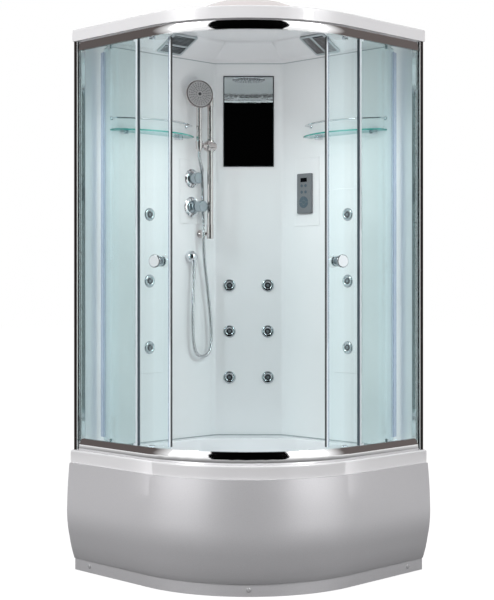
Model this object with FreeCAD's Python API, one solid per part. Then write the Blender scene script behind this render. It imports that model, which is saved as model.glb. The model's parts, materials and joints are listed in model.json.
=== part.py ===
import FreeCAD, Part
import math
import os

# Corner shower cabin on a quadrant plan. Millimetres, +Z up, +Y towards the room corner, the
# curved front faces -Y. The origin is on the floor, at the middle of the cabin's own box.

os.makedirs("parts", exist_ok=True)

V = FreeCAD.Vector
HERE = V(0, 0, 0)
UP = V(0, 0, 1)
FRONT = V(0, -1, 0)
ACROSS = V(1, 0, 0)
ROOT2 = math.sqrt(2)

# Driving sizes of the whole cabin
side = 1000.0
front_radius = 550.0
tray_height = 477.0
bottom_rail_height = 47.0
glazing_height = 1610.0
top_rail_height = 38.0
fascia_height = 46.0
ceiling_lift = 10.0
ceiling_rise = 63.0
wall_gap = 8.0
wall_inset = 37.0
wall_thickness = 5.0
column_half_width = 146.0
glass_thickness = 5.0
fixed_glass_inset = 22.0
door_inset = 58.0
apron_overhang = 18.4
floor_gap = 2.0
fit_gap = 0.3
overrun = 1.0

straight = side - front_radius
plan_depth = ROOT2 * straight + front_radius
corner_y = (plan_depth + apron_overhang + ROOT2 * wall_gap) / 2
arc_y = corner_y - ROOT2 * straight
facet_distance = column_half_width + ROOT2 * wall_inset
arc_centre = V(0, arc_y, 0)
tray_rim = tray_height
glazing_top = tray_rim + glazing_height
ceiling_height = glazing_top + ceiling_lift
rail_low_top = tray_rim + bottom_rail_height
rail_high_bottom = glazing_top - top_rail_height
fascia_top = glazing_top + fascia_height

pieces = {}


# Helpers for the plan, in room measures: a runs along the left wall, b along the right wall,
# both from the room corner
def room_point(a, b, z):
    return V((b - a) / ROOT2, corner_y - (a + b) / ROOT2, z)


def placed(shape):
    turned = shape.rotated(HERE, UP, 225)
    return turned.translated(arc_centre)


def room_box(a0, a1, b0, b1, z0, z1):
    box = Part.makeBox(a1 - a0, b1 - b0, z1 - z0, V(a0 - straight, b0 - straight, z0))
    return placed(box)


def plan_wire(front_inset, back_inset, facet, z):
    """The quadrant outline drawn in from the front and the walls, with a corner facet or none."""
    reach = side - front_inset
    mid = straight + (front_radius - front_inset) / ROOT2
    left_end = room_point(reach, back_inset, z)
    left_tangent = room_point(reach, straight, z)
    right_tangent = room_point(straight, reach, z)
    right_end = room_point(back_inset, reach, z)
    edges = [
        Part.LineSegment(left_end, left_tangent).toShape(),
        Part.Arc(left_tangent, room_point(mid, mid, z), right_tangent).toShape(),
        Part.LineSegment(right_tangent, right_end).toShape(),
    ]
    if facet:
        along = ROOT2 * facet - back_inset
        right_bend = room_point(back_inset, along, z)
        left_bend = room_point(along, back_inset, z)
        edges.append(Part.LineSegment(right_end, right_bend).toShape())
        edges.append(Part.LineSegment(right_bend, left_bend).toShape())
        edges.append(Part.LineSegment(left_bend, left_end).toShape())
    else:
        corner = room_point(back_inset, back_inset, z)
        edges.append(Part.LineSegment(right_end, corner).toShape())
        edges.append(Part.LineSegment(corner, left_end).toShape())
    return Part.Wire(edges)


def plan_slab(front_inset, back_inset, facet, z0, z1):
    return Part.Face(plan_wire(front_inset, back_inset, facet, z0)).extrude(V(0, 0, z1 - z0))


def plan_loft(lower, upper):
    return Part.makeLoft([lower, upper], True, True)


def drawn_face(steps, lift):
    """A face from (u, v) corners; a step of four numbers is an arc through its first pair."""
    edges = []
    last = lift(*steps[0])
    for step in steps[1:] + [steps[0]]:
        end = lift(*step[-2:])
        if end.distanceToPoint(last) > fit_gap / 100:
            if len(step) == 4:
                edges.append(Part.Arc(last, lift(*step[:2]), end).toShape())
            else:
                edges.append(Part.LineSegment(last, end).toShape())
        last = end
    return Part.Face(Part.Wire(edges))


def front_sweep(face, start):
    """Carries an (outset, height) face along the left flank, round the arc, along the right."""
    flank = straight - start
    at_arc = face.translated(V(front_radius, 0, 0))
    arc = at_arc.revolve(HERE, UP, 90)
    left = at_arc.extrude(V(0, -flank, 0))
    right = at_arc.rotated(HERE, UP, 90).extrude(V(-flank, 0, 0))
    return placed(arc.fuse([left, right]).removeSplitter())


def upright(u, v):
    return V(u, 0, v)


def mirrored(shape):
    return shape.mirror(HERE, ACROSS)


def both_sides(left_name, right_name, shape):
    pieces[left_name] = shape
    pieces[right_name] = mirrored(shape)


def rod(start, direction, radius, length):
    return Part.makeCylinder(radius, length, start, direction)


def turned_shape(points, base, axis):
    """A solid of revolution from (distance along the axis, radius) corners, arcs allowed."""
    face = drawn_face(points, lambda u, v: V(v, 0, u))
    solid = face.revolve(HERE, UP, 360)
    return aimed(solid, base, axis)


def aimed(shape, base, axis):
    """Moves a shape drawn along +Z at the origin to a base point and an axis."""
    spot = FreeCAD.Placement(base, FreeCAD.Rotation(UP, axis))
    moved = shape.copy()
    moved.Placement = spot.multiply(moved.Placement)
    return moved


def wall_level(share):
    """A height on the walls, as a share of the way from the tray's rim to the roof."""
    return tray_rim + glazing_height * share


def left_wall(along, off, z):
    """A point at a distance along the left wall and off its inner face."""
    return room_point(along, wall_inset + off, z)


def right_wall(along, off, z):
    return room_point(wall_inset + off, along, z)


def column_point(x, off, z):
    return V(x, corner_y - facet_distance - off, z)


LEFT_OUT = V(1 / ROOT2, -1 / ROOT2, 0)
RIGHT_OUT = V(-1 / ROOT2, -1 / ROOT2, 0)
LEFT_ALONG = V(-1 / ROOT2, -1 / ROOT2, 0)
RIGHT_ALONG = V(1 / ROOT2, -1 / ROOT2, 0)


def rounded(shape, radius, chosen):
    """Rounds the edges for which chosen(edge) is true."""
    edges = [edge for edge in shape.Edges if chosen(edge)]
    return shape.makeFillet(radius, edges)


def is_upright(edge):
    box = edge.BoundBox
    return box.ZLength > fit_gap and box.XLength < fit_gap / 100 and box.YLength < fit_gap / 100


# Tray: one moulded shell with a wide rim, a rolled front edge and a deep basin
rim_band = 50.0
rim_thickness = 12.0
band_thickness = 7.0
rim_round = 7.0
basin_front_inset = 88.0
basin_wall_inset = 86.0
basin_facet = 330.0
basin_floor = 150.0
basin_draft = 62.0
basin_round = 14.0
tray_shell = 6.0
drain_radius = 45.0
drain_offset = 40.0

drain_spot = V(0, arc_y - drain_offset, 0)
band_bottom = tray_rim - rim_band

rim_plate = plan_slab(0, wall_gap, None, tray_rim - rim_thickness, tray_rim)
band_face = drawn_face(
    [(0, band_bottom), (0, tray_rim - rim_thickness / 2), (-band_thickness, tray_rim - rim_thickness / 2),
     (-band_thickness, band_bottom)], upright)
rim_plate = rim_plate.fuse(front_sweep(band_face, wall_gap)).removeSplitter()


def on_front_top(edge):
    box = edge.BoundBox
    if box.ZMin < tray_rim - fit_gap or box.ZLength > fit_gap:
        return False
    middle = edge.valueAt((edge.FirstParameter + edge.LastParameter) / 2)
    room_a = ((corner_y - middle.y) * ROOT2 - middle.x * ROOT2) / 2
    room_b = ((corner_y - middle.y) * ROOT2 + middle.x * ROOT2) / 2
    return max(room_a, room_b) > side - fit_gap or (room_a > straight and room_b > straight)


rim_plate = rounded(rim_plate, rim_round, on_front_top)
basin_outer = plan_loft(
    plan_wire(basin_front_inset + basin_draft - tray_shell, basin_wall_inset + basin_draft - tray_shell,
              basin_facet + basin_draft - tray_shell, basin_floor - tray_shell),
    plan_wire(basin_front_inset - tray_shell, basin_wall_inset - tray_shell, basin_facet - tray_shell,
              tray_rim - rim_thickness / 2))
basin_inner = plan_loft(
    plan_wire(basin_front_inset + basin_draft, basin_wall_inset + basin_draft,
              basin_facet + basin_draft, basin_floor),
    plan_wire(basin_front_inset, basin_wall_inset, basin_facet, tray_rim))
basin_inner = basin_inner.makeFillet(basin_round, [
    edge for edge in basin_inner.Edges if edge.BoundBox.ZMax < basin_floor + fit_gap])
mouth = plan_slab(basin_front_inset, basin_wall_inset, basin_facet, tray_rim - fit_gap,
                  tray_rim + overrun)
tray = rim_plate.fuse(basin_outer).cut(basin_inner.fuse(mouth))
drain_hole = rod(drain_spot + V(0, 0, basin_floor - tray_shell - overrun), UP, drain_radius,
                 tray_shell + overrun * 2)
pieces["tray"] = tray.cut(drain_hole).removeSplitter()

# Waste: a chrome domed cover in the tray floor, and the trap under it with its outlet pipe
cover_lip = 12.0
cover_dome = 9.0
cover_edge = 3.0
trap_flange = 4.0
trap_depth = 78.0
trap_wall = 3.0
outlet_radius = 20.0
outlet_length = 95.0
outlet_collar = 8.0
outlet_collar_wall = 4.0
outlet_lift = 1.5

cover_radius = drain_radius + cover_lip
cover = turned_shape(
    [(0, 0), (0, cover_radius), (cover_edge, cover_radius),
     (cover_dome * 0.8, cover_radius * 0.55, cover_dome, cover_radius * 0.1), (cover_dome, 0)],
    drain_spot + V(0, 0, basin_floor), UP)
neck_radius = drain_radius - fit_gap
cover_neck = rod(drain_spot + V(0, 0, basin_floor - tray_shell), UP, neck_radius, tray_shell)
pieces["drain_cover"] = cover.fuse(cover_neck).removeSplitter()

trap_top = basin_floor - tray_shell
trap_bottom = trap_top - trap_depth
trap_radius = drain_radius + cover_lip
trap = rod(drain_spot + V(0, 0, trap_bottom), UP, trap_radius, trap_depth)
outlet_level = trap_bottom + outlet_lift + outlet_collar_wall + outlet_radius
trap_outlet = V(0, arc_y - drain_offset, outlet_level)
outlet_out = rod(trap_outlet, V(0, 1, 0), outlet_radius, trap_radius + outlet_length)
outlet_socket = rod(trap_outlet, V(0, 1, 0), outlet_radius + outlet_collar_wall,
                    trap_radius + outlet_collar)
trap = trap.fuse([outlet_out, outlet_socket])
trap_bore = rod(drain_spot + V(0, 0, trap_bottom + trap_wall), UP, trap_radius - trap_wall, trap_depth)
outlet_bore = rod(trap_outlet, V(0, 1, 0), outlet_radius - trap_wall,
                  trap_radius + outlet_length + overrun)
pieces["waste_trap"] = trap.cut(trap_bore.fuse(outlet_bore)).removeSplitter()

# Apron: a bowed front panel that hangs under the rim and ends in an upright toe strip
apron_skin = 4.0
apron_toe_inset = 22.0
apron_toe_height = 49.0
apron_lip = 20.0
apron_joint = 0.6
apron_outset_shares = (0.358, 0.751, 0.969, 0.817, 0.299, -0.283)
apron_height_shares = (1.0, 0.803, 0.58, 0.363, 0.228, 0.103)

apron_top = band_bottom - apron_joint
apron_rise = apron_top - apron_toe_height
apron_spots = []
for outset_share, height_share in zip(apron_outset_shares, apron_height_shares):
    apron_spots.append((apron_overhang * outset_share, apron_toe_height + apron_rise * height_share))


def apron_line(shift):
    """The bowed line from top to toe, moved in by a shift."""
    top, upper, full, lower, turn, toe = [(u - shift, v) for u, v in apron_spots]
    foot = (apron_skin - apron_toe_inset - shift, apron_toe_height)
    return [(top[0], apron_top - shift), upper + full, lower + turn, toe + foot]


def reversed_line(line):
    """The same line walked the other way, its arcs kept."""
    turned = [line[-1][-2:]]
    for index in range(len(line) - 1, 0, -1):
        turned.append(line[index][:2] + line[index - 1][-2:])
    return turned


apron_outer = apron_line(0)
apron_inner = reversed_line(apron_line(apron_skin))
apron_face = drawn_face(
    apron_outer
    + [(-apron_toe_inset, apron_toe_height), (-apron_toe_inset, floor_gap),
       (-apron_toe_inset - apron_skin, floor_gap), (-apron_toe_inset - apron_skin, apron_toe_height)]
    + apron_inner
    + [(-apron_lip, apron_top - apron_skin), (-apron_lip, apron_top)], upright)
pieces["apron"] = front_sweep(apron_face, wall_gap)

# Screw caps on the toe strip: one at the middle and one near each wall
cap_radius = 8.0
cap_rise = 3.5
cap_edge = 1.4
cap_height_share = 0.55
cap_from_wall = 99.0

cap_height = apron_toe_height * cap_height_share
cap_points = [(0, 0), (0, cap_radius), (cap_rise - cap_edge, cap_radius),
              (cap_rise, cap_radius - cap_edge * 2), (cap_rise, 0)]
toe_reach = side - apron_toe_inset
middle_y = arc_y - front_radius + apron_toe_inset
cap_left = turned_shape(cap_points, room_point(toe_reach, cap_from_wall, cap_height), LEFT_ALONG)
cap_middle = turned_shape(cap_points, V(0, middle_y, cap_height), FRONT)
pieces["screw_caps"] = Part.makeCompound([cap_left, cap_middle, mirrored(cap_left)])

# Base frame: square steel tubes butted together under the basin, with uprights to the rim
tube = 30.0
tube_wall = 2.0
frame_inset = 170.0
upright_inset = 48.0
cross_spread = 190.0

frame_top = basin_floor - tray_shell
frame_bottom = frame_top - tube


def square_tube(a0, a1, b0, b1):
    """A tube lying along whichever room axis is the longer."""
    outer = room_box(a0, a1, b0, b1, frame_bottom, frame_top)
    if a1 - a0 > b1 - b0:
        inner = room_box(a0 - overrun, a1 + overrun, b0 + tube_wall, b1 - tube_wall,
                         frame_bottom + tube_wall, frame_top - tube_wall)
    else:
        inner = room_box(a0 + tube_wall, a1 - tube_wall, b0 - overrun, b1 + overrun,
                         frame_bottom + tube_wall, frame_top - tube_wall)
    return outer.cut(inner)


near = upright_inset - tube / 2
far = side - upright_inset - tube
cross_a = straight - cross_spread
cross_b = straight + cross_spread
bars = [
    square_tube(near, far, near, near + tube),
    square_tube(near, near + tube, near + tube, far),
    square_tube(near + tube, far, cross_a, cross_a + tube),
    square_tube(near + tube, far - frame_inset, cross_b, cross_b + tube),
    square_tube(cross_a, cross_a + tube, near + tube, cross_a),
    square_tube(cross_a, cross_a + tube, cross_a + tube, cross_b),
]
upright_top = tray_rim - rim_thickness
for post_a, post_b in ((near, near), (far - tube, near), (near, far - tube)):
    bars.append(room_box(post_a, post_a + tube, post_b, post_b + tube, frame_top, upright_top))

# Levelling feet: a threaded stud and a round pad under each corner of the frame
stud_radius = 6.0
pad_radius = 24.0
pad_height = 12.0
pad_neck = 14.0
nut_radius = 11.0
nut_height = 9.0

foot_points = [
    (0, 0), (0, pad_radius), (pad_height / 2, pad_radius), (pad_height, pad_neck),
    (pad_height, stud_radius), (frame_bottom - nut_height, stud_radius),
    (frame_bottom - nut_height, nut_radius), (frame_bottom, nut_radius), (frame_bottom, stud_radius),
    (frame_bottom + tube_wall * 2, stud_radius), (frame_bottom + tube_wall * 2, 0)]
near_mid = near + tube / 2
feet_at = [
    (near_mid, near_mid), (far - tube / 2, near_mid), (near_mid, far - tube / 2),
    (far - frame_inset - tube, cross_b + tube / 2), (far - tube, cross_a + tube / 2),
    (cross_a + tube / 2, cross_b - tube)]
feet = []
foot_holes = []
for foot_a, foot_b in feet_at:
    spot = room_point(foot_a, foot_b, 0)
    feet.append(turned_shape(foot_points, spot, UP))
    foot_holes.append(rod(spot + V(0, 0, frame_bottom - overrun), UP, stud_radius + fit_gap,
                          tube_wall * 2 + overrun * 2))
pieces["levelling_feet"] = Part.makeCompound(feet)
pieces["base_frame"] = Part.makeCompound([bar.cut(foot_holes) for bar in bars])

# Side posts: aluminium uprights at each wall end, slotted for the fixed glass
post_inset = 15.0
post_depth = 35.0
post_width = 22.0
post_slot = 12.0
post_lug = 8.0
post_wall = 3.0
post_round = 2.5

slot_half = glass_thickness / 2 + fit_gap
post_outer = side - post_inset
post_inner = post_outer - post_depth
post_front = wall_gap + post_width
lug_outer = side - fixed_glass_inset - slot_half - post_wall
post_body = room_box(post_inner, post_outer, wall_gap, post_front, tray_rim, glazing_top)
post_body = post_body.fuse(
    room_box(post_inner, lug_outer, post_front - overrun, post_front + post_lug, tray_rim, glazing_top))
post_body = post_body.removeSplitter()
post_body = rounded(post_body, post_round, is_upright)
glass_slot = room_box(side - fixed_glass_inset - slot_half, side - fixed_glass_inset + slot_half,
                      post_front - post_slot, post_front + overrun, tray_rim - overrun,
                      glazing_top + overrun)
post_hollow = room_box(post_inner + post_wall, lug_outer - post_wall, wall_gap + post_wall,
                       post_front + post_lug - post_wall, tray_rim - overrun, glazing_top + overrun)
post_start = post_front + post_lug
both_sides("left_side_post", "right_side_post", post_body.cut(glass_slot.fuse(post_hollow)))

# Curved rails: aluminium extrusions with a bowed face, a slot for the fixed glass and a shelf
# that the door rollers run on
rail_edge_inset = 16.0
rail_crown_inset = 11.0
rail_slot_depth = 10.0
rail_setback = 12.0
rail_shelf = 3.0
rail_web = 2.5
rail_back_wall = 2.4
rail_depth = 52.0
chamber_inset = 15.5
chamber_width = 6.0
chamber_end = 4.0
rail_gap = 1.0
end_slant = 20.0


def rail_profile(open_edge, far_edge):
    """The rail's section; its open edge faces the glass and its far edge the tray or roof."""
    way = 1 if far_edge > open_edge else -1
    middle = (open_edge + far_edge) / 2
    slot_outer = -fixed_glass_inset + slot_half
    slot_inner = -fixed_glass_inset - slot_half
    back = slot_inner - rail_back_wall
    shelf_near = open_edge + way * rail_setback
    shelf_far = shelf_near + way * rail_shelf
    web = far_edge - way * rail_web
    slot_end = open_edge + way * rail_slot_depth
    face = drawn_face([
        (-rail_edge_inset, open_edge), (-rail_crown_inset, middle, -rail_edge_inset, far_edge),
        (-rail_depth, far_edge), (-rail_depth, web), (back, web), (back, shelf_far),
        (-rail_depth, shelf_far), (-rail_depth, shelf_near), (back, shelf_near), (back, open_edge),
        (slot_inner, open_edge), (slot_inner, slot_end), (slot_outer, slot_end),
        (slot_outer, open_edge)], upright)
    chamber_low = slot_end + way * rail_web
    chamber_high = far_edge - way * chamber_end
    chamber = drawn_face([
        (-chamber_inset, chamber_low), (-chamber_inset - chamber_width, chamber_low),
        (-chamber_inset - chamber_width, chamber_high), (-chamber_inset, chamber_high)], upright)
    return face.cut(chamber).Faces[0]


rail_start = post_start + rail_gap


def slanted_ends(rail, low, high):
    """Cuts both rail ends back to a slant that leans towards the room corner at the foot."""
    height = high - low
    lean = drawn_face([
        (rail_start - overrun, low - overrun), (rail_start, low - overrun),
        (rail_start + end_slant, high + overrun), (rail_start - overrun, high + overrun)],
        lambda u, v: V(-overrun * 4, u - straight, v))
    wedge = lean.extrude(V(front_radius + height, 0, 0))
    slot_keep = front_radius - fixed_glass_inset + slot_half + fit_gap
    wedge = placed(wedge.cut(Part.makeBox(slot_keep, side, glazing_top + height,
                                          V(-side / 2, -side, 0))))
    return rail.cut(wedge).cut(mirrored(wedge))


low_rail = front_sweep(rail_profile(rail_low_top, tray_rim), rail_start)
high_rail = front_sweep(rail_profile(rail_high_bottom, glazing_top), rail_start)
pieces["bottom_rail"] = slanted_ends(low_rail, tray_rim, rail_low_top)
pieces["top_rail"] = slanted_ends(high_rail, rail_high_bottom, glazing_top)

# Fixed glass: a flat pane on each straight flank, from the post to a free edge by the doors
pane_end_gap = 59.0
pane_seat = 0.5

fixed_pane_end = straight - pane_end_gap
pane_low = rail_low_top - rail_slot_depth + pane_seat
pane_high = rail_high_bottom + rail_slot_depth - pane_seat
pane_outer = side - fixed_glass_inset + glass_thickness / 2
pane_inner = pane_outer - glass_thickness
fixed_pane = room_box(pane_inner, pane_outer, post_front - post_slot + pane_seat, fixed_pane_end,
                      pane_low, pane_high)
both_sides("left_fixed_glass", "right_fixed_glass", fixed_pane)

# Edge strips: a clear channel on each free edge, with a fin towards the door and end clips
strip_lap = 9.0
strip_wall = 1.8
strip_fin = 4.5
fin_thickness = 1.2
clip_height = 7.0
clip_lap = 20.0

strip_low = rail_low_top + fit_gap
strip_high = rail_high_bottom - fit_gap
strip_outer = pane_outer + strip_wall
strip_inner = pane_inner - strip_wall
strip = room_box(strip_inner, strip_outer, fixed_pane_end - strip_lap, fixed_pane_end + strip_wall,
                 strip_low, strip_high)
strip = strip.fuse(room_box(strip_inner - strip_fin, strip_inner + overrun / 2,
                            fixed_pane_end + strip_wall - fin_thickness,
                            fixed_pane_end + strip_wall, strip_low, strip_high))
for clip_base in (strip_low, strip_high - clip_height):
    strip = strip.fuse(room_box(strip_inner, strip_outer, fixed_pane_end - clip_lap,
                                fixed_pane_end + strip_wall, clip_base, clip_base + clip_height))
strip = strip.cut(room_box(pane_inner, pane_outer, fixed_pane_end - clip_lap - overrun,
                           fixed_pane_end, strip_low - overrun, strip_high + overrun))
strip = strip.removeSplitter()
pieces["glass_edge_strips"] = Part.makeCompound([strip, mirrored(strip)])

# Back walls: a flat panel on each side with a return at the post, and the corner column between
wing = 22.0
bend_round = 20.0
lap = 30.0
return_depth = wall_inset - wall_thickness - wall_gap

bend_along = ROOT2 * facet_distance - wall_inset
wing_end = bend_along + wing
panel_back = wall_inset - wall_thickness
wall_panel = room_box(wing_end + fit_gap, post_inner - fit_gap, panel_back, wall_inset, tray_rim,
                      glazing_top)
wall_panel = wall_panel.fuse(
    room_box(post_inner - fit_gap - wall_thickness, post_inner - fit_gap, wall_gap,
             panel_back + overrun, tray_rim, glazing_top)).removeSplitter()

back_facet = facet_distance - wall_thickness
back_along = ROOT2 * back_facet - panel_back
column_face = drawn_face(
    [(wing_end, wall_inset), (bend_along, wall_inset), (wall_inset, bend_along),
     (wall_inset, wing_end), (panel_back, wing_end), (panel_back, back_along),
     (back_along, panel_back), (wing_end, panel_back)], lambda u, v: room_point(u, v, tray_rim))
column = column_face.extrude(V(0, 0, glazing_top - tray_rim))
front_bends = (room_point(bend_along, wall_inset, 0), room_point(wall_inset, bend_along, 0))
back_bends = (room_point(back_along, panel_back, 0), room_point(panel_back, back_along, 0))


def edge_near(spots):
    def test(edge):
        if not is_upright(edge):
            return False
        middle = edge.BoundBox.Center
        return any(V(middle.x, middle.y, 0).distanceToPoint(spot) < fit_gap for spot in spots)
    return test


column = rounded(column, bend_round, edge_near(front_bends))
column = rounded(column, bend_round + wall_thickness, edge_near(back_bends))
lap_strip = room_box(wing_end - lap, wing_end + lap, panel_back - wall_thickness, panel_back,
                     tray_rim, glazing_top)
column = column.fuse([lap_strip, mirrored(lap_strip)]).removeSplitter()

# Body jets: a chrome ring with a neck through the wall, and the nozzle set in it
jet_radius = 27.0
jet_ring_height = 7.0
jet_ring_hole = 13.0
jet_neck_radius = 16.0
jet_neck_length = 17.0
jet_bore = 8.0
nozzle_rim = 12.6
nozzle_height = 5.0
nozzle_tip = 5.0
nozzle_bore = 2.5
side_jet_share = 0.617
side_jet_low_share = 0.2429
side_jet_pitch = 275.0
column_jet_x = 83.0
column_jet_low_share = 0.1553
column_jet_pitch = 199.0
jet_row_count = 3

jet_seat = jet_ring_height * 0.25
ring_points = [
    (-jet_neck_length, jet_bore), (-jet_neck_length, jet_neck_radius), (0, jet_neck_radius),
    (0, jet_radius), (jet_ring_height * 0.75, jet_radius * 0.93, jet_ring_height, jet_radius * 0.74),
    (jet_ring_height * 0.7, jet_ring_hole), (jet_seat, jet_ring_hole), (jet_seat, jet_bore)]
nozzle_points = [
    (jet_seat, nozzle_bore), (jet_seat, nozzle_rim), (nozzle_height * 0.55, nozzle_rim),
    (nozzle_height * 0.5, nozzle_rim * 0.62), (jet_ring_height * 0.9, nozzle_tip),
    (jet_ring_height * 0.9, nozzle_bore)]
side_jet_along = side * side_jet_share
side_jet_low = wall_level(side_jet_low_share)
column_jet_low = wall_level(column_jet_low_share)
jet_spots = []
for index in range(jet_row_count):
    jet_height = side_jet_low + side_jet_pitch * index
    jet_spots.append((left_wall(side_jet_along, 0, jet_height), LEFT_OUT))
    jet_spots.append((right_wall(side_jet_along, 0, jet_height), RIGHT_OUT))
for index in range(jet_row_count):
    jet_height = column_jet_low + column_jet_pitch * index
    jet_spots.append((column_point(-column_jet_x, 0, jet_height), FRONT))
    jet_spots.append((column_point(column_jet_x, 0, jet_height), FRONT))
rings = []
nozzles = []
left_holes = []
column_holes = []
for spot, out in jet_spots:
    rings.append(turned_shape(ring_points, spot, out))
    nozzles.append(turned_shape(nozzle_points, spot, out))
    hole = rod(spot + out * overrun, out * -1, jet_neck_radius + fit_gap, wall_thickness + lap)
    if out is LEFT_OUT:
        left_holes.append(hole)
    elif out is FRONT:
        column_holes.append(hole)
pieces["jet_rings"] = Part.makeCompound(rings)
pieces["jet_nozzles"] = Part.makeCompound(nozzles)

# Manifolds: a plastic water pipe behind each row of jets, with a stub to each jet neck
manifold_radius = 7.0
manifold_wall = 1.5
manifold_tail = 60.0


def manifold(spots, out):
    """An upright pipe behind a row of jets; the stubs meet the jet necks face to face."""
    behind = jet_neck_length + manifold_radius
    low = min(spot.z for spot in spots) - manifold_tail
    high = max(spot.z for spot in spots) + manifold_tail
    foot = spots[0] - out * behind
    pipe = rod(V(foot.x, foot.y, low), UP, manifold_radius, high - low)
    for spot in spots:
        pipe = pipe.fuse(rod(spot - out * behind, out, jet_bore - manifold_wall, manifold_radius))
    bore = rod(V(foot.x, foot.y, low - overrun), UP, manifold_radius - manifold_wall,
               high - low + overrun * 2)
    return pipe.cut(bore).removeSplitter()


rows = {}
for spot, out in jet_spots:
    rows.setdefault(round(spot.x / fit_gap), []).append((spot, out))
manifolds = [manifold([spot for spot, out in row], row[0][1]) for row in rows.values()]
pieces["jet_manifolds"] = Part.makeCompound(manifolds)

# Taps: two round plates with valve stems on the left wall, and the knob on each
tap_share = 0.38
mixer_share = 0.61
tap_spacing = 121.0
plate_radius_small = 40.0
plate_radius_large = 43.0
plate_thickness = 9.0
plate_edge = 3.0
stem_radius = 9.0
stem_reach = 26.0
valve_radius = 18.0
valve_depth = 22.0
knob_radius = 24.0
knob_gap = 1.5
knob_wall = 4.0
diverter_reach = 46.0
mixer_reach = 76.0
mixer_waist = 19.0

tap_along = side * tap_share
mixer_height = wall_level(mixer_share)
diverter_height = mixer_height + tap_spacing


def tap_plate(height, radius):
    points = [
        (-valve_depth, 0), (-valve_depth, valve_radius), (0, valve_radius), (0, radius),
        (plate_edge, radius), (plate_thickness, radius * 0.72), (plate_thickness, stem_radius),
        (stem_reach, stem_radius), (stem_reach, 0)]
    return turned_shape(points, left_wall(tap_along, 0, height), LEFT_OUT)


bore_radius = stem_radius + fit_gap / 5
knob_base = plate_thickness + knob_gap
bore_end = stem_reach + knob_gap
diverter_points = [
    (knob_base, bore_radius), (knob_base, knob_radius), (diverter_reach - knob_gap, knob_radius),
    (diverter_reach, knob_radius - knob_gap), (diverter_reach, 0), (bore_end, 0),
    (bore_end, bore_radius)]
mixer_points = [
    (knob_base, bore_radius), (knob_base, knob_radius + knob_wall),
    (knob_base + knob_wall, knob_radius + knob_wall), (stem_reach, mixer_waist),
    (diverter_reach, knob_radius), (mixer_reach - knob_gap, knob_radius),
    (mixer_reach, knob_radius - knob_gap), (mixer_reach, 0), (bore_end, 0), (bore_end, bore_radius)]
diverter_base = left_wall(tap_along, 0, diverter_height)
mixer_base = left_wall(tap_along, 0, mixer_height)
pieces["tap_plates"] = Part.makeCompound([
    tap_plate(diverter_height, plate_radius_small), tap_plate(mixer_height, plate_radius_large)])
pieces["diverter_knob"] = turned_shape(diverter_points, diverter_base, LEFT_OUT)
pieces["mixer_knob"] = turned_shape(mixer_points, mixer_base, LEFT_OUT)
for tap_height in (diverter_height, mixer_height):
    left_holes.append(rod(left_wall(tap_along, overrun, tap_height), LEFT_OUT * -1,
                          valve_radius + fit_gap, lap))

# Hose outlet: a domed elbow on the wall with a threaded nipple that points down
outlet_aside = 10.0
outlet_below = 212.1
dome_radius = 26.0
dome_reach = 36.0
nipple_off = 24.0
nipple_radius = 10.0
nipple_drop = 37.0

hose_diameter = 14.0
hose_radius = hose_diameter / 2
hose_bore = 8.0
outlet_along = tap_along + outlet_aside
outlet_height = mixer_height - outlet_below
outlet_spot = left_wall(outlet_along, 0, outlet_height)
dome = turned_shape(
    [(0, 0), (0, dome_radius), (plate_edge, dome_radius),
     (dome_reach * 0.72, dome_radius * 0.78, dome_reach, dome_radius * 0.2), (dome_reach, 0)],
    outlet_spot, LEFT_OUT)
nipple_end = left_wall(outlet_along, nipple_off, outlet_height - nipple_drop)
nipple = rod(nipple_end, UP, nipple_radius, nipple_drop)
pieces["hose_outlet"] = dome.fuse(nipple).removeSplitter()

# Riser rail: a chrome tube on two stand-offs, with end sleeves
riser_aside = 47.7
riser_off = 64.0
riser_radius = 12.5
riser_wall = 1.5
riser_below = 134.1
riser_length = 596.0
sleeve_length_low = 58.0
sleeve_length_high = 38.0
sleeve_wall = 1.8
arm_radius = 9.0
arm_inset = 20.0
foot_radius = 17.0
foot_thickness = 5.0

riser_along = tap_along - riser_aside
riser_low = mixer_height - riser_below
riser_high = riser_low + riser_length
riser_spot = left_wall(riser_along, riser_off, 0)
riser = rod(riser_spot + V(0, 0, riser_low), UP, riser_radius, riser_length)
riser_hollow = rod(riser_spot + V(0, 0, riser_low - overrun), UP, riser_radius - riser_wall,
                   riser_length + overrun * 2)
pieces["riser_rail"] = riser.cut(riser_hollow)


def riser_bracket(low, high, arm_height):
    """A sleeve round the rail's end, an arm to the wall and a round foot on the wall."""
    sleeve = rod(riser_spot + V(0, 0, low), UP, riser_radius + sleeve_wall, high - low)
    wall_spot = left_wall(riser_along, 0, arm_height)
    arm = rod(wall_spot, LEFT_OUT, arm_radius, riser_off)
    foot = rod(wall_spot, LEFT_OUT, foot_radius, foot_thickness)
    body = sleeve.fuse([arm, foot])
    bore = rod(riser_spot + V(0, 0, riser_low), UP, riser_radius, riser_length)
    return body.cut(bore).removeSplitter()


low_sleeve_top = riser_low + sleeve_length_low
high_sleeve_bottom = riser_high - sleeve_length_high
pieces["riser_brackets"] = Part.makeCompound([
    riser_bracket(riser_low - sleeve_wall, low_sleeve_top, riser_low + arm_inset),
    riser_bracket(high_sleeve_bottom, riser_high + sleeve_wall, riser_high - arm_inset)])

# Slider: a cross barrel on the riser with a friction knob, and an arm for the handset cradle
slider_share = 0.656
barrel_radius = 20.0
barrel_tail = 24.0
barrel_nose = 26.0
slider_round = 4.0
slide_gap = 0.08
cradle_offset = 64.0
cradle_radius = 15.5
cradle_height = 34.0
cradle_taper = 2.5
axle_radius = 6.0
cradle_gap = 0.5

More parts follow.
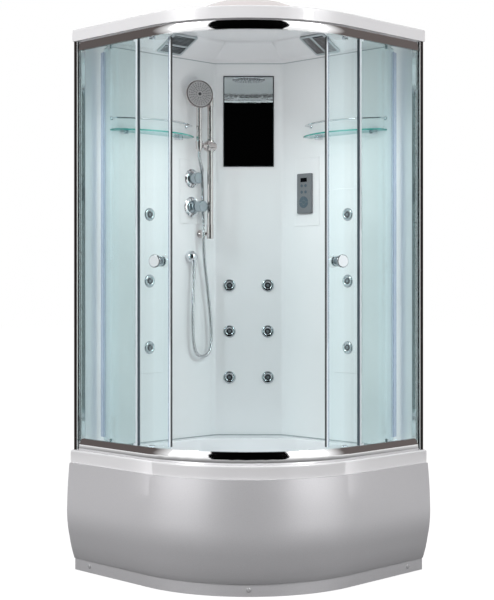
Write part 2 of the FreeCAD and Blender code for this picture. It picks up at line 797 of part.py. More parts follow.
slider_height = riser_low + riser_length * slider_share
slider_spot = riser_spot + V(0, 0, slider_height)
barrel = turned_shape(
    [(-barrel_tail, 0), (-barrel_tail, barrel_radius - slider_round),
     (-barrel_tail + slider_round, barrel_radius), (barrel_nose - slider_round, barrel_radius),
     (barrel_nose, barrel_radius - slider_round), (barrel_nose, axle_radius * 2),
     (cradle_offset - cradle_radius - cradle_gap, axle_radius * 1.5),
     (cradle_offset - cradle_radius - cradle_gap, axle_radius),
     (cradle_offset - cradle_radius + barrel_nose / 8, axle_radius),
     (cradle_offset - cradle_radius + barrel_nose / 8, 0)], slider_spot, LEFT_ALONG)
collar = rod(slider_spot - UP * (barrel_radius + slider_round), UP, riser_radius + slider_round,
             (barrel_radius + slider_round) * 2)
riser_path = rod(riser_spot + V(0, 0, riser_low), UP, riser_radius + slide_gap, riser_length)
pieces["slider"] = barrel.fuse(collar).cut(riser_path).removeSplitter()

# Cradle: the tapered cup that tilts on the slider's arm
cradle_spot = slider_spot + LEFT_ALONG * cradle_offset
half_cup = cradle_height / 2
handle_foot_radius = 9.5
handle_seat_radius = 12.5
seat_gap = 0.08

cradle = turned_shape(
    [(-half_cup, 0), (-half_cup, cradle_radius - cradle_taper), (half_cup, cradle_radius),
     (half_cup, 0)], cradle_spot, UP)
cup_bore = turned_shape(
    [(-half_cup - overrun, 0), (-half_cup - overrun, handle_foot_radius + seat_gap),
     (-half_cup, handle_foot_radius + seat_gap), (half_cup, handle_seat_radius + seat_gap),
     (half_cup + overrun, handle_seat_radius + seat_gap), (half_cup + overrun, 0)], cradle_spot, UP)
arm_socket = rod(cradle_spot - LEFT_ALONG * cradle_offset, LEFT_ALONG, axle_radius + seat_gap,
                 cradle_offset)
pieces["handset_cradle"] = cradle.cut(cup_bore).cut(arm_socket)

# Handset: a straight handle with a round head and a grey spray face
handle_top = 186.0
handle_radius = 11.7
head_radius = 59.0
head_height = 215.0
head_back = 22.0
head_front = 4.0
head_turn = 22.0
head_lean = 6.0
face_radius = 54.0
face_depth = 3.0
hose_nut_length = 9.0
hose_nut_radius = 9.0

handle = turned_shape(
    [(-half_cup, 0), (-half_cup, handle_foot_radius), (half_cup, handle_seat_radius),
     (half_cup * 1.35, handle_radius), (handle_top, handle_radius), (handle_top, 0)],
    cradle_spot, UP)
nut = rod(cradle_spot - UP * (half_cup + hose_nut_length), UP, hose_nut_radius, hose_nut_length)
face_out = V(math.sin(math.radians(head_turn)), -math.cos(math.radians(head_turn)), 0)
face_side = V(face_out.y * -1, face_out.x, 0)
lean = FreeCAD.Rotation(face_side, -head_lean)
face_axis = lean.multVec(face_out)
head_spot = cradle_spot + UP * head_height + face_out * handle_radius / 2
head = turned_shape(
    [(-head_back, 0), (-head_back, head_radius * 0.45),
     (-head_back * 0.62, head_radius * 0.85, -head_front, head_radius), (head_front, head_radius),
     (head_front, face_radius), (head_front - face_depth, face_radius), (head_front - face_depth, 0)],
    head_spot, face_axis)
face_recess = rod(head_spot + face_axis * (head_front - face_depth), face_axis, face_radius,
                  face_depth + handle_radius)
handset = handle.fuse([nut, head]).cut(face_recess).removeSplitter()
pieces["handset"] = handset.cut(rod(
    cradle_spot - UP * (half_cup + hose_nut_length + overrun), UP, hose_bore / 2,
    cradle_height + hose_nut_length))

# Spray face: a disc set into the head, with rings of raised rubber nozzles and a centre button
spray_button = 7.0
spray_nub = 1.6
nub_height = 1.0
ring_shares = (0.3, 0.44, 0.58, 0.72, 0.86)
nub_counts = (12, 12, 24, 24, 24)
face_lift = 0.8

face_plate = turned_shape(
    [(head_front - face_depth, 0), (head_front - face_depth, face_radius - fit_gap),
     (head_front - face_lift, face_radius - fit_gap), (head_front, face_radius * 0.96),
     (head_front, spray_button), (head_front + nub_height, spray_button),
     (head_front + nub_height, 0)], head_spot, face_axis)
nubs = []
face_turn = FreeCAD.Rotation(UP, face_axis)
for ring_share, count in zip(ring_shares, nub_counts):
    for index in range(count):
        angle = 2 * math.pi * index / count
        flat = V(math.cos(angle), math.sin(angle), 0) * face_radius * ring_share
        start = head_spot + face_turn.multVec(flat + UP * (head_front - nub_height / 2))
        nubs.append(rod(start, face_axis, spray_nub, nub_height * 1.5))
pieces["handset_face"] = face_plate.fuse(nubs)

# Hose: a smooth chrome shower hose about 1.3 m long, from the handset nut to the wall outlet,
# behind both taps. Its points are chosen by hand as (along the wall, off the wall, height).
hose_top = slider_height - half_cup - hose_nut_length
cradle_along = riser_along + cradle_offset
hose_route = [
    (cradle_along, riser_off, hose_top), (cradle_along, riser_off, 1664.0), (388.7, 58.5, 1640.8),
    (374.6, 48.3, 1622.8), (358.3, 36.4, 1608.1), (345.8, 27.6, 1588.4), (340.5, 24.3, 1564.7),
    (338.6, 23.8, 1522.0), (338.6, 26.0, 1466.0), (343.4, 33.4, 1406.0), (350.6, 41.6, 1346.0),
    (345.0, 37.4, 1284.0), (333.4, 30.4, 1226.0), (320.6, 27.0, 1166.0), (311.6, 26.2, 1109.0),
    (303.6, 26.0, 1053.0), (295.6, 26.0, 997.0), (290.4, 26.2, 943.0), (289.5, 26.4, 889.7),
    (298.3, 26.7, 848.6), (311.6, 27.0, 831.5), (331.2, 27.2, 822.0), (352.8, 27.2, 822.0),
    (372.4, 27.0, 831.5), (385.7, 26.7, 848.6), (394.4, 26.4, 889.7), (396.6, 26.0, 943.0),
    (396.9, 25.4, 1000.0), (396.0, 24.8, 1056.0), (394.0, 24.3, 1108.0), (391.4, 24.1, 1150.0),
    (outlet_along, nipple_off, 1182.0), (outlet_along, nipple_off, outlet_height - nipple_drop)]


def tangent_path(points):
    """Straight runs joined by the largest tangent arcs that their runs allow."""
    edges = []
    radii = []
    last = points[0]
    for before, at, after in zip(points, points[1:], points[2:]):
        run_in = at - before
        run_out = after - at
        turn = run_in.getAngle(run_out)
        shorter = min(run_in.Length, run_out.Length)
        trim = 0.45 * shorter
        way_in = run_in * (1 / run_in.Length)
        way_out = run_out * (1 / run_out.Length)
        start = at - way_in * trim
        end = at + way_out * trim
        radius = trim / math.tan(turn / 2)
        radii.append(radius)
        inward = way_out - way_in
        inward = inward * (1 / inward.Length)
        centre = at + inward * (trim / math.sin(turn / 2))
        middle = centre - inward * radius
        edges.append(Part.LineSegment(last, start).toShape())
        edges.append(Part.Arc(start, middle, end).toShape())
        last = end
    edges.append(Part.LineSegment(last, points[-1]).toShape())
    return Part.Wire(edges), radii


hose_points = [left_wall(*point) for point in hose_route]
hose_path, hose_radii = tangent_path(hose_points)
hose_start = hose_points[1] - hose_points[0]
hose_ring = Part.Wire(Part.makeCircle(hose_radius, hose_points[0], hose_start))
hose = hose_path.makePipeShell([hose_ring], True, False)
hose_section = math.pi * hose_radius ** 2
print("hose length %.1f, volume over section %.1f" % (hose_path.Length, hose.Volume / hose_section))
print("hose radii", " ".join("%.0f" % radius for radius in hose_radii))
pieces["hose"] = hose

for hole in left_holes:
    wall_panel = wall_panel.cut(hole)
for hole in column_holes:
    column = column.cut(hole)
pieces["left_wall"] = wall_panel
plain_wall = room_box(wing_end + fit_gap, post_inner - fit_gap, panel_back, wall_inset, tray_rim,
                      glazing_top)
plain_wall = plain_wall.fuse(
    room_box(post_inner - fit_gap - wall_thickness, post_inner - fit_gap, wall_gap,
             panel_back + overrun, tray_rim, glazing_top)).removeSplitter()
jet_holes = left_holes[:jet_row_count]
for hole in jet_holes:
    plain_wall = plain_wall.cut(hole)
pieces["right_wall"] = mirrored(plain_wall)
pieces["centre_column"] = column

# Mirror: a bevelled sheet stuck on the column
mirror_width = 216.0
mirror_height = 390.0
mirror_drop = 57.0
mirror_thickness = 5.0
mirror_bevel = 3.0

mirror_low = glazing_top - mirror_drop - mirror_height
mirror = Part.makeBox(mirror_width, mirror_thickness, mirror_height,
                      column_point(-mirror_width / 2, mirror_thickness, mirror_low))
front_line = corner_y - facet_distance - mirror_thickness
mirror = mirror.makeChamfer(mirror_bevel, [
    edge for edge in mirror.Edges if edge.BoundBox.YMax < front_line + fit_gap])
pieces["mirror"] = mirror

# Control panel: a slim box on the right wall with a raised display window
panel_share = 0.382
panel_width = 80.0
panel_low_share = 0.5925
panel_height = 170.0
panel_thickness = 14.0
panel_round = 5.0
display_width = 36.0
display_height = 17.0
display_low_share = 0.788
display_thickness = 1.0
key_radius = 6.5
key_height = 1.2
key_spread = 22.0
key_row_shares = (0.694, 0.535)
pad_outer = 25.0
pad_inner = 10.0
pad_share = 0.282
pad_slit = 1.5

panel_along = side * panel_share
panel_low = wall_level(panel_low_share)
panel_side = panel_width / 2


def right_box(a0, a1, n0, n1, z0, z1):
    return room_box(wall_inset + n0, wall_inset + n1, a0, a1, z0, z1)


panel = right_box(panel_along - panel_side, panel_along + panel_side, 0, panel_thickness,
                  panel_low, panel_low + panel_height)
panel_front = right_wall(panel_along, panel_thickness, panel_low)


def off_front(edge):
    return abs(edge.BoundBox.Center.distanceToPlane(panel_front, RIGHT_OUT))


panel = rounded(panel, panel_round, lambda edge: off_front(edge) > fit_gap
                and off_front(edge) < panel_thickness - fit_gap)
panel = rounded(panel, panel_round / 2, lambda edge: off_front(edge) < fit_gap)
display_low = panel_low + panel_height * display_low_share
display = right_box(panel_along - display_width / 2, panel_along + display_width / 2,
                    panel_thickness, panel_thickness + display_thickness, display_low,
                    display_low + display_height)
pieces["control_panel"] = panel.fuse(display)

# Panel keys: two rows of round keys over a ring pad in four quarters with a centre key
keys = []
for row_share in key_row_shares:
    row_height = panel_low + panel_height * row_share
    for way in (-1, 1):
        keys.append(rod(right_wall(panel_along + way * key_spread / 2, panel_thickness, row_height),
                        RIGHT_OUT, key_radius, key_height))
pad_spot = right_wall(panel_along, panel_thickness, panel_low + panel_height * pad_share)
pad = rod(pad_spot, RIGHT_OUT, pad_outer, key_height).cut(
    rod(pad_spot, RIGHT_OUT, pad_inner, key_height))
for slant in (45, 135):
    slit = Part.makeBox(pad_outer * 2 + overrun * 2, pad_slit, key_height * 3,
                        V(-pad_outer - overrun, -pad_slit / 2, -key_height))
    pad = pad.cut(aimed(slit.rotated(HERE, UP, slant), pad_spot, RIGHT_OUT))
keys += pad.Solids
keys.append(rod(pad_spot, RIGHT_OUT, pad_inner - pad_slit, key_height))
pieces["panel_keys"] = Part.makeCompound(keys)

# Glass shelves: a bow-front shelf on each side wall in two clamps, with a chrome guard above
shelf_start_share = 0.405
shelf_length = 420.0
shelf_share = 0.7932
shelf_thickness = 6.0
shelf_end_depth = 42.0
shelf_bow = 112.0
guard_rise = 44.0
guard_radius = 3.5
guard_inset = 7.0
clamp_inset = 62.0
clamp_width = 22.0
clamp_reach = 30.0
clamp_lip = 7.0
clamp_round = 3.0

shelf_start = side * shelf_start_share
shelf_top = wall_level(shelf_share)
shelf_mid = shelf_start + shelf_length / 2
shelf_end = shelf_start + shelf_length
shelf_face = drawn_face(
    [(shelf_start, fit_gap), (shelf_start, shelf_end_depth),
     (shelf_mid, shelf_bow, shelf_end, shelf_end_depth), (shelf_end, fit_gap)],
    lambda u, v: left_wall(u, v, shelf_top - shelf_thickness))
shelf = shelf_face.extrude(V(0, 0, shelf_thickness))
both_sides("left_shelf", "right_shelf", shelf)


def guard_point(along, off):
    return left_wall(along, off, shelf_top + guard_rise)


guard_low = shelf_start + guard_inset
guard_high = shelf_end - guard_inset
guard_depth = shelf_end_depth - guard_inset
guard_arc = Part.Arc(guard_point(guard_low, guard_depth), guard_point(shelf_mid, shelf_bow - guard_inset),
                     guard_point(guard_high, guard_depth))
guard_path = Part.Wire([guard_arc.toShape()])
bow_start = guard_arc.tangent(guard_arc.FirstParameter)[0]
guard_ring = Part.Wire(Part.makeCircle(guard_radius, guard_arc.StartPoint, bow_start))
guard = guard_path.makePipeShell([guard_ring], True, False)
for guard_end in (guard_low, guard_high):
    guard = guard.fuse(rod(guard_point(guard_end, 0), LEFT_OUT, guard_radius, guard_depth))
    guard = guard.fuse(Part.makeSphere(guard_radius, guard_point(guard_end, guard_depth)))
    guard = guard.fuse(rod(guard_point(guard_end, 0), LEFT_OUT, guard_radius * 2.2, guard_radius))
guard = guard.removeSplitter()
pieces["shelf_guards"] = Part.makeCompound([guard, mirrored(guard)])


def shelf_clamp(along):
    """A block on the wall with a slot that the shelf's back edge sits in."""
    block = room_box(along - clamp_width / 2, along + clamp_width / 2, wall_inset,
                     wall_inset + clamp_reach, shelf_top - shelf_thickness - clamp_lip * 1.6,
                     shelf_top + clamp_lip)
    front = left_wall(along, clamp_reach, 0)
    block = rounded(block, clamp_round, lambda edge: abs(
        edge.BoundBox.Center.distanceToPlane(front, LEFT_OUT)) < fit_gap)
    return block.cut(shelf)


clamps = [shelf_clamp(shelf_start + clamp_inset), shelf_clamp(shelf_end - clamp_inset)]
clamps += [mirrored(clamp) for clamp in clamps]
pieces["shelf_clamps"] = Part.makeCompound(clamps)

# Roof: a fascia that caps the rail and walls, with a ceiling that slopes up to a flat middle
fascia_inset = 7.6
ceiling_front_inset = 72.0
slope_front = 128.0
slope_wall = 118.0
roof_skin = 6.0
fascia_round = 5.0

ceiling_top = ceiling_height + ceiling_rise


def ceiling_wire(outset, climb, z):
    """The ceiling's outline at a share of its climb from the walls to the flat middle."""
    return plan_wire(ceiling_front_inset + slope_front * climb - outset,
                     wall_inset + slope_wall * climb - outset,
                     facet_distance + slope_wall * climb - outset, z)


roof = plan_slab(fascia_inset, wall_gap, None, glazing_top, fascia_top)
roof = rounded(roof, fascia_round, lambda edge: edge.BoundBox.ZMin > fascia_top - fit_gap)
roof = roof.fuse(plan_loft(ceiling_wire(roof_skin, 0, ceiling_height + roof_skin),
                           ceiling_wire(roof_skin, 1, ceiling_top + roof_skin)))
roof_void = plan_slab(ceiling_front_inset, wall_inset, facet_distance, glazing_top - overrun,
                      ceiling_height)
roof_void = roof_void.fuse(plan_loft(ceiling_wire(0, 0, ceiling_height),
                                     ceiling_wire(0, 1, ceiling_top)))
roof = roof.cut(roof_void).removeSplitter()

# Roof dome: a shallow cap over the flat middle
dome_sphere = 460.0
dome_rise = 98.0
dome_skin = 4.0
dome_low = ceiling_top + roof_skin
dome_top = dome_low + dome_rise

dome_centre = V(0, arc_y, dome_top - dome_sphere)
cap = Part.makeSphere(dome_sphere, dome_centre)
cap = cap.cut(Part.makeSphere(dome_sphere - dome_skin, dome_centre))
above = Part.makeBox(side, side, dome_sphere, V(-side / 2, arc_y - side / 2, dome_low))
pieces["roof_dome"] = cap.common(above)

# Ceiling units: a speaker plate on the left slope and an extractor on the right slope
unit_share = 0.517
unit_width = 134.0
unit_length = 128.0
unit_lift = 4.0
unit_thickness = 7.0
unit_frame = 10.0
unit_bar = 9.0
grille_recess = 3.0
slat = 3.0
slat_gap = 5.0
lower_cell_share = 0.4
duct_radius = 46.0
duct_wall = 2.5
duct_depth = 40.0

slope_length = math.hypot(slope_wall, ceiling_rise)
climb_in = slope_wall / slope_length
climb_up = ceiling_rise / slope_length
slope_foot = left_wall(side * unit_share, 0, ceiling_height)
slope_way = V(LEFT_OUT.x * climb_in, LEFT_OUT.y * climb_in, climb_up)
slope_down = slope_way.cross(LEFT_ALONG)
if slope_down.z > 0:
    slope_down = slope_down * -1


def on_slope(shape):
    """Sets a shape drawn with x along the wall, y up the slope and z down into the cabin."""
    side_way = slope_way.cross(slope_down)
    matrix = FreeCAD.Matrix(
        side_way.x, slope_way.x, slope_down.x, slope_foot.x,
        side_way.y, slope_way.y, slope_down.y, slope_foot.y,
        side_way.z, slope_way.z, slope_down.z, slope_foot.z,
        0, 0, 0, 1)
    return shape.transformed(matrix)


def unit_plate():
    plate = Part.makeBox(unit_width, unit_length, unit_thickness,
                         V(-unit_width / 2, unit_lift, 0))
    return rounded(plate, unit_frame, lambda edge: edge.BoundBox.ZLength > fit_gap)


def recess(x0, x1, y0, y1):
    return Part.makeBox(x1 - x0, y1 - y0, grille_recess, V(x0, y0, unit_thickness - grille_recess))


def slats(x0, x1, y0, y1, across):
    """Thin raised bars that fill a recess, across it or along it."""
    found = []
    pitch = slat + slat_gap
    span = (y1 - y0) if across else (x1 - x0)
    for index in range(int((span - slat_gap) / pitch)):
        at = slat_gap + index * pitch
        if across:
            found.append(Part.makeBox(x1 - x0, slat, grille_recess * 0.8,
                                      V(x0, y0 + at, unit_thickness - grille_recess)))
        else:
            found.append(Part.makeBox(slat, y1 - y0, grille_recess * 0.8,
                                      V(x0 + at, y0, unit_thickness - grille_recess)))
    return found


cell_x0 = -unit_width / 2 + unit_frame
cell_x1 = unit_width / 2 - unit_frame
cell_y0 = unit_lift + unit_frame
cell_y1 = unit_lift + unit_length - unit_frame
bar_y = cell_y0 + (cell_y1 - cell_y0) * lower_cell_share
speaker = unit_plate()
speaker = speaker.cut(recess(cell_x0, cell_x1, cell_y0, bar_y))
speaker = speaker.cut(recess(cell_x0, cell_x1, bar_y + unit_bar, cell_y1))
speaker = speaker.fuse(slats(cell_x0, cell_x1, cell_y0, bar_y, True)
                       + slats(cell_x0, cell_x1, bar_y + unit_bar, cell_y1, True))
pieces["speaker_unit"] = on_slope(speaker.removeSplitter())

bar_x = cell_x1 - (cell_x1 - cell_x0) * lower_cell_share
unit_middle = V(0, unit_lift + unit_length / 2, 0)
duct_top = unit_middle - UP * duct_depth
fan = unit_plate()
fan = fan.cut(recess(bar_x, cell_x1, cell_y0, cell_y1))
fan = fan.cut(recess(cell_x0, bar_x - unit_bar, cell_y0, cell_y1))
fan = fan.fuse(slats(bar_x, cell_x1, cell_y0, cell_y1, False)
               + slats(cell_x0, bar_x - unit_bar, cell_y0, cell_y1, True))
duct = rod(duct_top, UP, duct_radius, duct_depth)
duct = duct.cut(rod(duct_top + UP * duct_wall, UP, duct_radius - duct_wall, duct_depth))
motor_radius = 14.0
motor_depth = 12.0
spindle_radius = 3.0
spindle_length = 14.0
motor = rod(duct_top, UP, motor_radius, motor_depth)
spindle = rod(duct_top, UP, spindle_radius, motor_depth + spindle_length)
fan = fan.fuse([duct, motor, spindle])

# Extractor impeller: a hub with blades on the motor spindle
blade_count = 7
blade_thickness = 2.0
blade_height = 12.0
hub_radius = 11.0
blade_tip_gap = 3.0
run_gap = 0.06
hub_gap = 1.0

hub_base = duct_top + UP * (motor_depth + hub_gap)
impeller = rod(hub_base, UP, hub_radius, blade_height)
blade_reach = duct_radius - duct_wall - blade_tip_gap
for index in range(blade_count):
    blade = Part.makeBox(blade_reach - hub_radius / 2, blade_thickness, blade_height,
                         hub_base + V(hub_radius / 2, -blade_thickness / 2, 0))
    impeller = impeller.fuse(blade.rotated(hub_base, UP, 360 * index / blade_count))
impeller = impeller.cut(rod(hub_base - UP * overrun, UP, spindle_radius + run_gap,
                            blade_height + overrun * 2)).removeSplitter()
impeller_axis = on_slope(Part.Vertex(unit_middle)).Point
pieces["fan_unit"] = mirrored(on_slope(fan.removeSplitter()))
pieces["fan_impeller"] = mirrored(on_slope(impeller))
print("impeller axis point (%.3f, %.3f, %.3f)" % (-impeller_axis.x, impeller_axis.y, impeller_axis.z))
print("impeller axis way (%.5f, %.5f, %.5f)" % (-slope_down.x, slope_down.y, slope_down.z))
duct_hole = mirrored(on_slope(rod(duct_top - UP * overrun, UP, duct_radius + fit_gap,
                                  duct_depth + overrun)))
pieces["roof"] = roof.cut(duct_hole)

# Rain shower: a flat round head on a short stem under the ceiling
rain_radius = 80.0
rain_thickness = 9.0
rain_drop = 40.0
rain_back = 280.0
rain_edge = 3.0
rain_stem_radius = 11.0
rain_nub = 1.8
rain_nub_height = 2.0
rain_ring_shares = (0.25, 0.45, 0.65, 0.85)
rain_nub_counts = (8, 16, 24, 32)

rain_spot = V(0, corner_y - plan_depth + rain_back, ceiling_top - rain_drop)
rain = turned_shape(
    [(0, 0), (0, rain_radius - rain_edge), (rain_edge, rain_radius),
     (rain_thickness - rain_edge, rain_radius), (rain_thickness, rain_radius - rain_edge * 2),
     (rain_thickness * 2, rain_stem_radius * 2), (rain_thickness * 2, rain_stem_radius),
     (rain_drop - rain_edge, rain_stem_radius), (rain_drop - rain_edge, rain_stem_radius * 2),
     (rain_drop, rain_stem_radius * 2), (rain_drop, 0)], rain_spot, UP)
rain_dots = []
for ring_share, count in zip(rain_ring_shares, rain_nub_counts):
    for index in range(count):
        angle = 2 * math.pi * index / count
        flat = V(math.cos(angle), math.sin(angle), 0) * rain_radius * ring_share
        rain_dots.append(rod(rain_spot + flat - UP * rain_nub_height, UP, rain_nub,
                             rain_nub_height + rain_edge / 2))
pieces["rain_shower"] = rain.fuse(rain_dots)

# Doors: two curved panes that hang on rollers. A pane is drawn where it is when shut, on the
# rails' own curve, and then moved to where it stands open.
door_edge_gap = 3.0
door_start = 4.5
door_lap = 0.6
front_strip = 8.0
meeting_gap = 0.6
rear_seal = 22.0
roller_front = 84.0
roller_spacing = 274.0
door_rear_stop = 56.4
play_front_open = -6.7
play_rear_open = 8.0
play_front_shut = 1.2
play_rear_shut = 5.2

path_radius = front_radius - door_inset
quarter_run = path_radius * math.pi / 4
door_end = quarter_run + pane_end_gap + door_lap
door_travel = quarter_run + straight - door_rear_stop - door_end - rear_seal
door_low = rail_low_top - rail_setback + door_edge_gap
door_high = rail_high_bottom + rail_setback - door_edge_gap


def path_point(run, play):
    """A point of the left door's path, a run from the middle and a play towards the inside."""
    if run <= quarter_run:
        angle = run / path_radius
        reach = path_radius - play
        return V(-reach * math.sin(angle), arc_y - reach * math.cos(angle), 0)
    beyond = run - quarter_run
    tangent = path_point(quarter_run, play)
    return tangent + V(-beyond / ROOT2, beyond / ROOT2, 0)


def roller_pair(run, front_play, rear_play):
    """The front roller's place, and the rear roller's at its fixed distance further back."""
    first = path_point(run, front_play)
    chord = 2 * path_radius * math.sin(roller_spacing / 2 / path_radius)
    low = run + roller_spacing / 2
    high = run + roller_spacing * 1.5
    for _ in range(60):
        middle = (low + high) / 2
        if path_point(middle, rear_play).distanceToPoint(first) < chord:
            low = middle
        else:
            high = middle
    return first, path_point(low, rear_play)


def heading(pair):
    way = pair[1] - pair[0]
    return math.degrees(math.atan2(way.y, way.x))


def placement_between(old, new):
    """The move that carries one pair of points to another."""
    spin = FreeCAD.Rotation(UP, heading(new) - heading(old))
    return FreeCAD.Placement(new[0] - spin.multVec(old[0]), spin)


on_curve = (path_point(roller_front, 0), path_point(roller_front + roller_spacing, 0))
opened = roller_pair(roller_front + door_travel, play_front_open, play_rear_open)
shut = roller_pair(roller_front, play_front_shut, play_rear_shut)
open_move = placement_between(on_curve, opened)
shut_angle = heading(shut) - heading(opened)
spin_shut = FreeCAD.Rotation(UP, shut_angle)
chord_middle = (opened[0] + shut[0]) * 0.5
step = shut[0] - opened[0]
square_to_step = V(-step.y, step.x, 0) * (1 / step.Length)
pole = chord_middle + square_to_step * (step.Length / 2 / math.tan(math.radians(shut_angle) / 2))
print("door pole left (%.3f, %.3f) shut angle %.4f" % (pole.x, pole.y, shut_angle))
print("rear roller check %.4f" % (
    spin_shut.multVec(opened[1] - pole) + pole).distanceToPoint(shut[1]))


def opened_door(shape):
    moved = shape.copy()
    moved.Placement = open_move.multiply(moved.Placement)
    return moved


def at_run(shape, run):
    """Carries a shape drawn at the middle of the path, inside is +Y, to a run along the path."""
    set_down = shape.translated(V(0, arc_y - path_radius, 0))
    return set_down.rotated(arc_centre, UP, -math.degrees(run / path_radius))


def arc_slab(inner, outer, run0, run1, z0, z1):
    """A curved slab between two radii and two runs of the path."""
    sweep = math.degrees((run1 - run0) / path_radius)
    sector = Part.makeCylinder(outer, z1 - z0, V(0, 0, z0), UP, sweep)
    sector = sector.cut(Part.makeCylinder(inner, z1 - z0 + overrun * 2, V(0, 0, z0 - overrun)))
    turned = sector.rotated(HERE, UP, 270 - math.degrees(run1 / path_radius))
    return turned.translated(arc_centre)


half_glass = glass_thickness / 2
glass_in = path_radius - half_glass
glass_out = path_radius + half_glass

# Roller brackets: a clamp on the pane's edge, a plate inside it and an axle out to the roller
grip_length = 13.0
grip_width = 23.0
grip_plate = 3.0
arm_width = 16.0
arm_plate = 4.0
bolt_radius = 4.0
roller_radius = 9.5
roller_width = 7.0
roller_play = 0.2
roller_line = 17.5
roller_axle = 2.5
axle_clearance = 0.05
axle_collar = 4.5
axle_head = 1.5
arm_over = 7.0
side_play = 0.3
washer_gap = 0.4

shelf_face_high = rail_high_bottom + rail_setback + rail_shelf
shelf_face_low = rail_low_top - rail_setback - rail_shelf
axle_high = shelf_face_high + roller_play + roller_radius
axle_low = shelf_face_low - roller_play - roller_radius
arm_seat = half_glass + (arm_width / 2) ** 2 / glass_in / 2 + washer_gap


def bracket(edge, axle):
    """One bracket at the middle of the path; edge is the pane's edge, axle the roller's height."""
    way = 1 if axle > edge else -1
    grip_end = edge - way * grip_length
    z_low = min(grip_end, edge)
    outer = Part.makeBox(grip_width, grip_plate, grip_length,
                         V(-grip_width / 2, -half_glass - grip_plate, z_low))
    arm_end = axle + way * arm_over
    arm_low = min(grip_end, arm_end)
    arm = Part.makeBox(arm_width, arm_plate, abs(arm_end - grip_end),
                       V(-arm_width / 2, arm_seat, arm_low))
    bolt = rod(V(0, -half_glass - grip_plate, edge - way * grip_length / 2), V(0, 1, 0), bolt_radius,
               glass_thickness + grip_plate + arm_plate)
    axle_rod = rod(V(0, arm_seat, axle), V(0, -1, 0), roller_axle,
                   arm_seat + roller_line + roller_width / 2 + side_play + axle_head)
    collar_length = roller_line - roller_width / 2 - side_play + arm_seat
    spacer = rod(V(0, arm_seat, axle), V(0, -1, 0), axle_collar, collar_length)
    head = rod(V(0, -roller_line - roller_width / 2 - side_play, axle), V(0, -1, 0), axle_collar,
               axle_head)
    return outer.fuse([arm, bolt, axle_rod, spacer, head]).removeSplitter()


def roller(axle):
    points = [
        (-roller_width / 2, roller_axle + axle_clearance), (-roller_width / 2, roller_radius * 0.9),
        (-roller_width / 4, roller_radius), (roller_width / 4, roller_radius),
        (roller_width / 2, roller_radius * 0.9), (roller_width / 2, roller_axle + axle_clearance)]
    return turned_shape(points, V(0, -roller_line, axle), V(0, 1, 0))


stations = {"front": roller_front, "rear": roller_front + roller_spacing}
levels = {"top": (door_high, axle_high), "bottom": (door_low, axle_low)}
brackets = []
bolt_holes = []
for place, run in stations.items():
    for level, (edge, axle) in levels.items():
        brackets.append(opened_door(at_run(bracket(edge, axle), run)))
        name = "_".join((place, level, "roller"))
        wheel = opened_door(at_run(roller(axle), run))
        both_sides("left_" + name, "right_" + name, wheel)
        way = 1 if axle > edge else -1
        bolt_holes.append(at_run(rod(V(0, -glass_thickness, edge - way * grip_length / 2),
                                     V(0, 1, 0), bolt_radius + fit_gap / 2, glass_thickness * 2), run))
bracket_set = Part.makeCompound(brackets)
both_sides("left_roller_brackets", "right_roller_brackets", bracket_set)
for place, run in stations.items():
    spot = open_move.multVec(path_point(run, -roller_line))
    along = open_move.Rotation.multVec(V(math.sin(run / path_radius), math.cos(run / path_radius), 0))
    print("roller %s centre (%.3f, %.3f), axis (%.5f, %.5f)" % (place, spot.x, spot.y, along.x, along.y))
print("roller axle heights %.3f %.3f" % (axle_high, axle_low))

# Door knobs: a chrome knob outside and a small plate inside, bolted through the pane
door_knob_run = 50.0
door_knob_share = 0.4584
door_knob_radius = 24.5
door_knob_waist = 17.0
door_knob_base = 20.0
door_knob_reach = 40.0
door_knob_face = 7.0
door_knob_round = 3.0
inner_plate_radius = 20.0
inner_plate_reach = 16.0
knob_bolt = 4.0

inner_seat = half_glass + inner_plate_radius ** 2 / glass_in / 2 + washer_gap
knob_points = [
    (half_glass, 0), (half_glass, door_knob_base), (half_glass + door_knob_face, door_knob_base),
    (door_knob_reach / 2, door_knob_waist), (door_knob_reach - door_knob_face, door_knob_radius),
    (door_knob_reach, door_knob_radius),
    (door_knob_reach + door_knob_round, door_knob_radius - door_knob_round),
    (door_knob_reach + door_knob_round, 0)]
inner_points = [
    (inner_seat, 0), (inner_seat, inner_plate_radius), (inner_plate_reach - knob_bolt, inner_plate_radius),
    (inner_plate_reach, inner_plate_radius - knob_bolt), (inner_plate_reach, 0)]
knob_spot = V(0, 0, wall_level(door_knob_share))
knob = turned_shape(knob_points, knob_spot, FRONT)
knob = knob.fuse(turned_shape(inner_points, knob_spot, V(0, 1, 0)))
knob = knob.fuse(rod(knob_spot + V(0, -half_glass, 0), V(0, 1, 0), knob_bolt, half_glass + inner_seat))
both_sides("left_door_knob", "right_door_knob",
           opened_door(at_run(knob.removeSplitter(), door_knob_run)))
bolt_holes.append(at_run(rod(knob_spot + V(0, -glass_thickness, 0), V(0, 1, 0),
                             knob_bolt + fit_gap / 2, glass_thickness * 2), door_knob_run))

pane = arc_slab(glass_in, glass_out, door_start, door_end, door_low, door_high)
for hole in bolt_holes:
    pane = pane.cut(hole)
both_sides("left_door_glass", "right_door_glass", opened_door(pane))

# Door seals: a black magnet strip on the meeting edge and a clear fin seal on the rear edge
seal_wall = 1.6
seal_low = rail_low_top + overrun
seal_high = rail_high_bottom - overrun
magnet_half = 6.0
fin_reach = 8.0

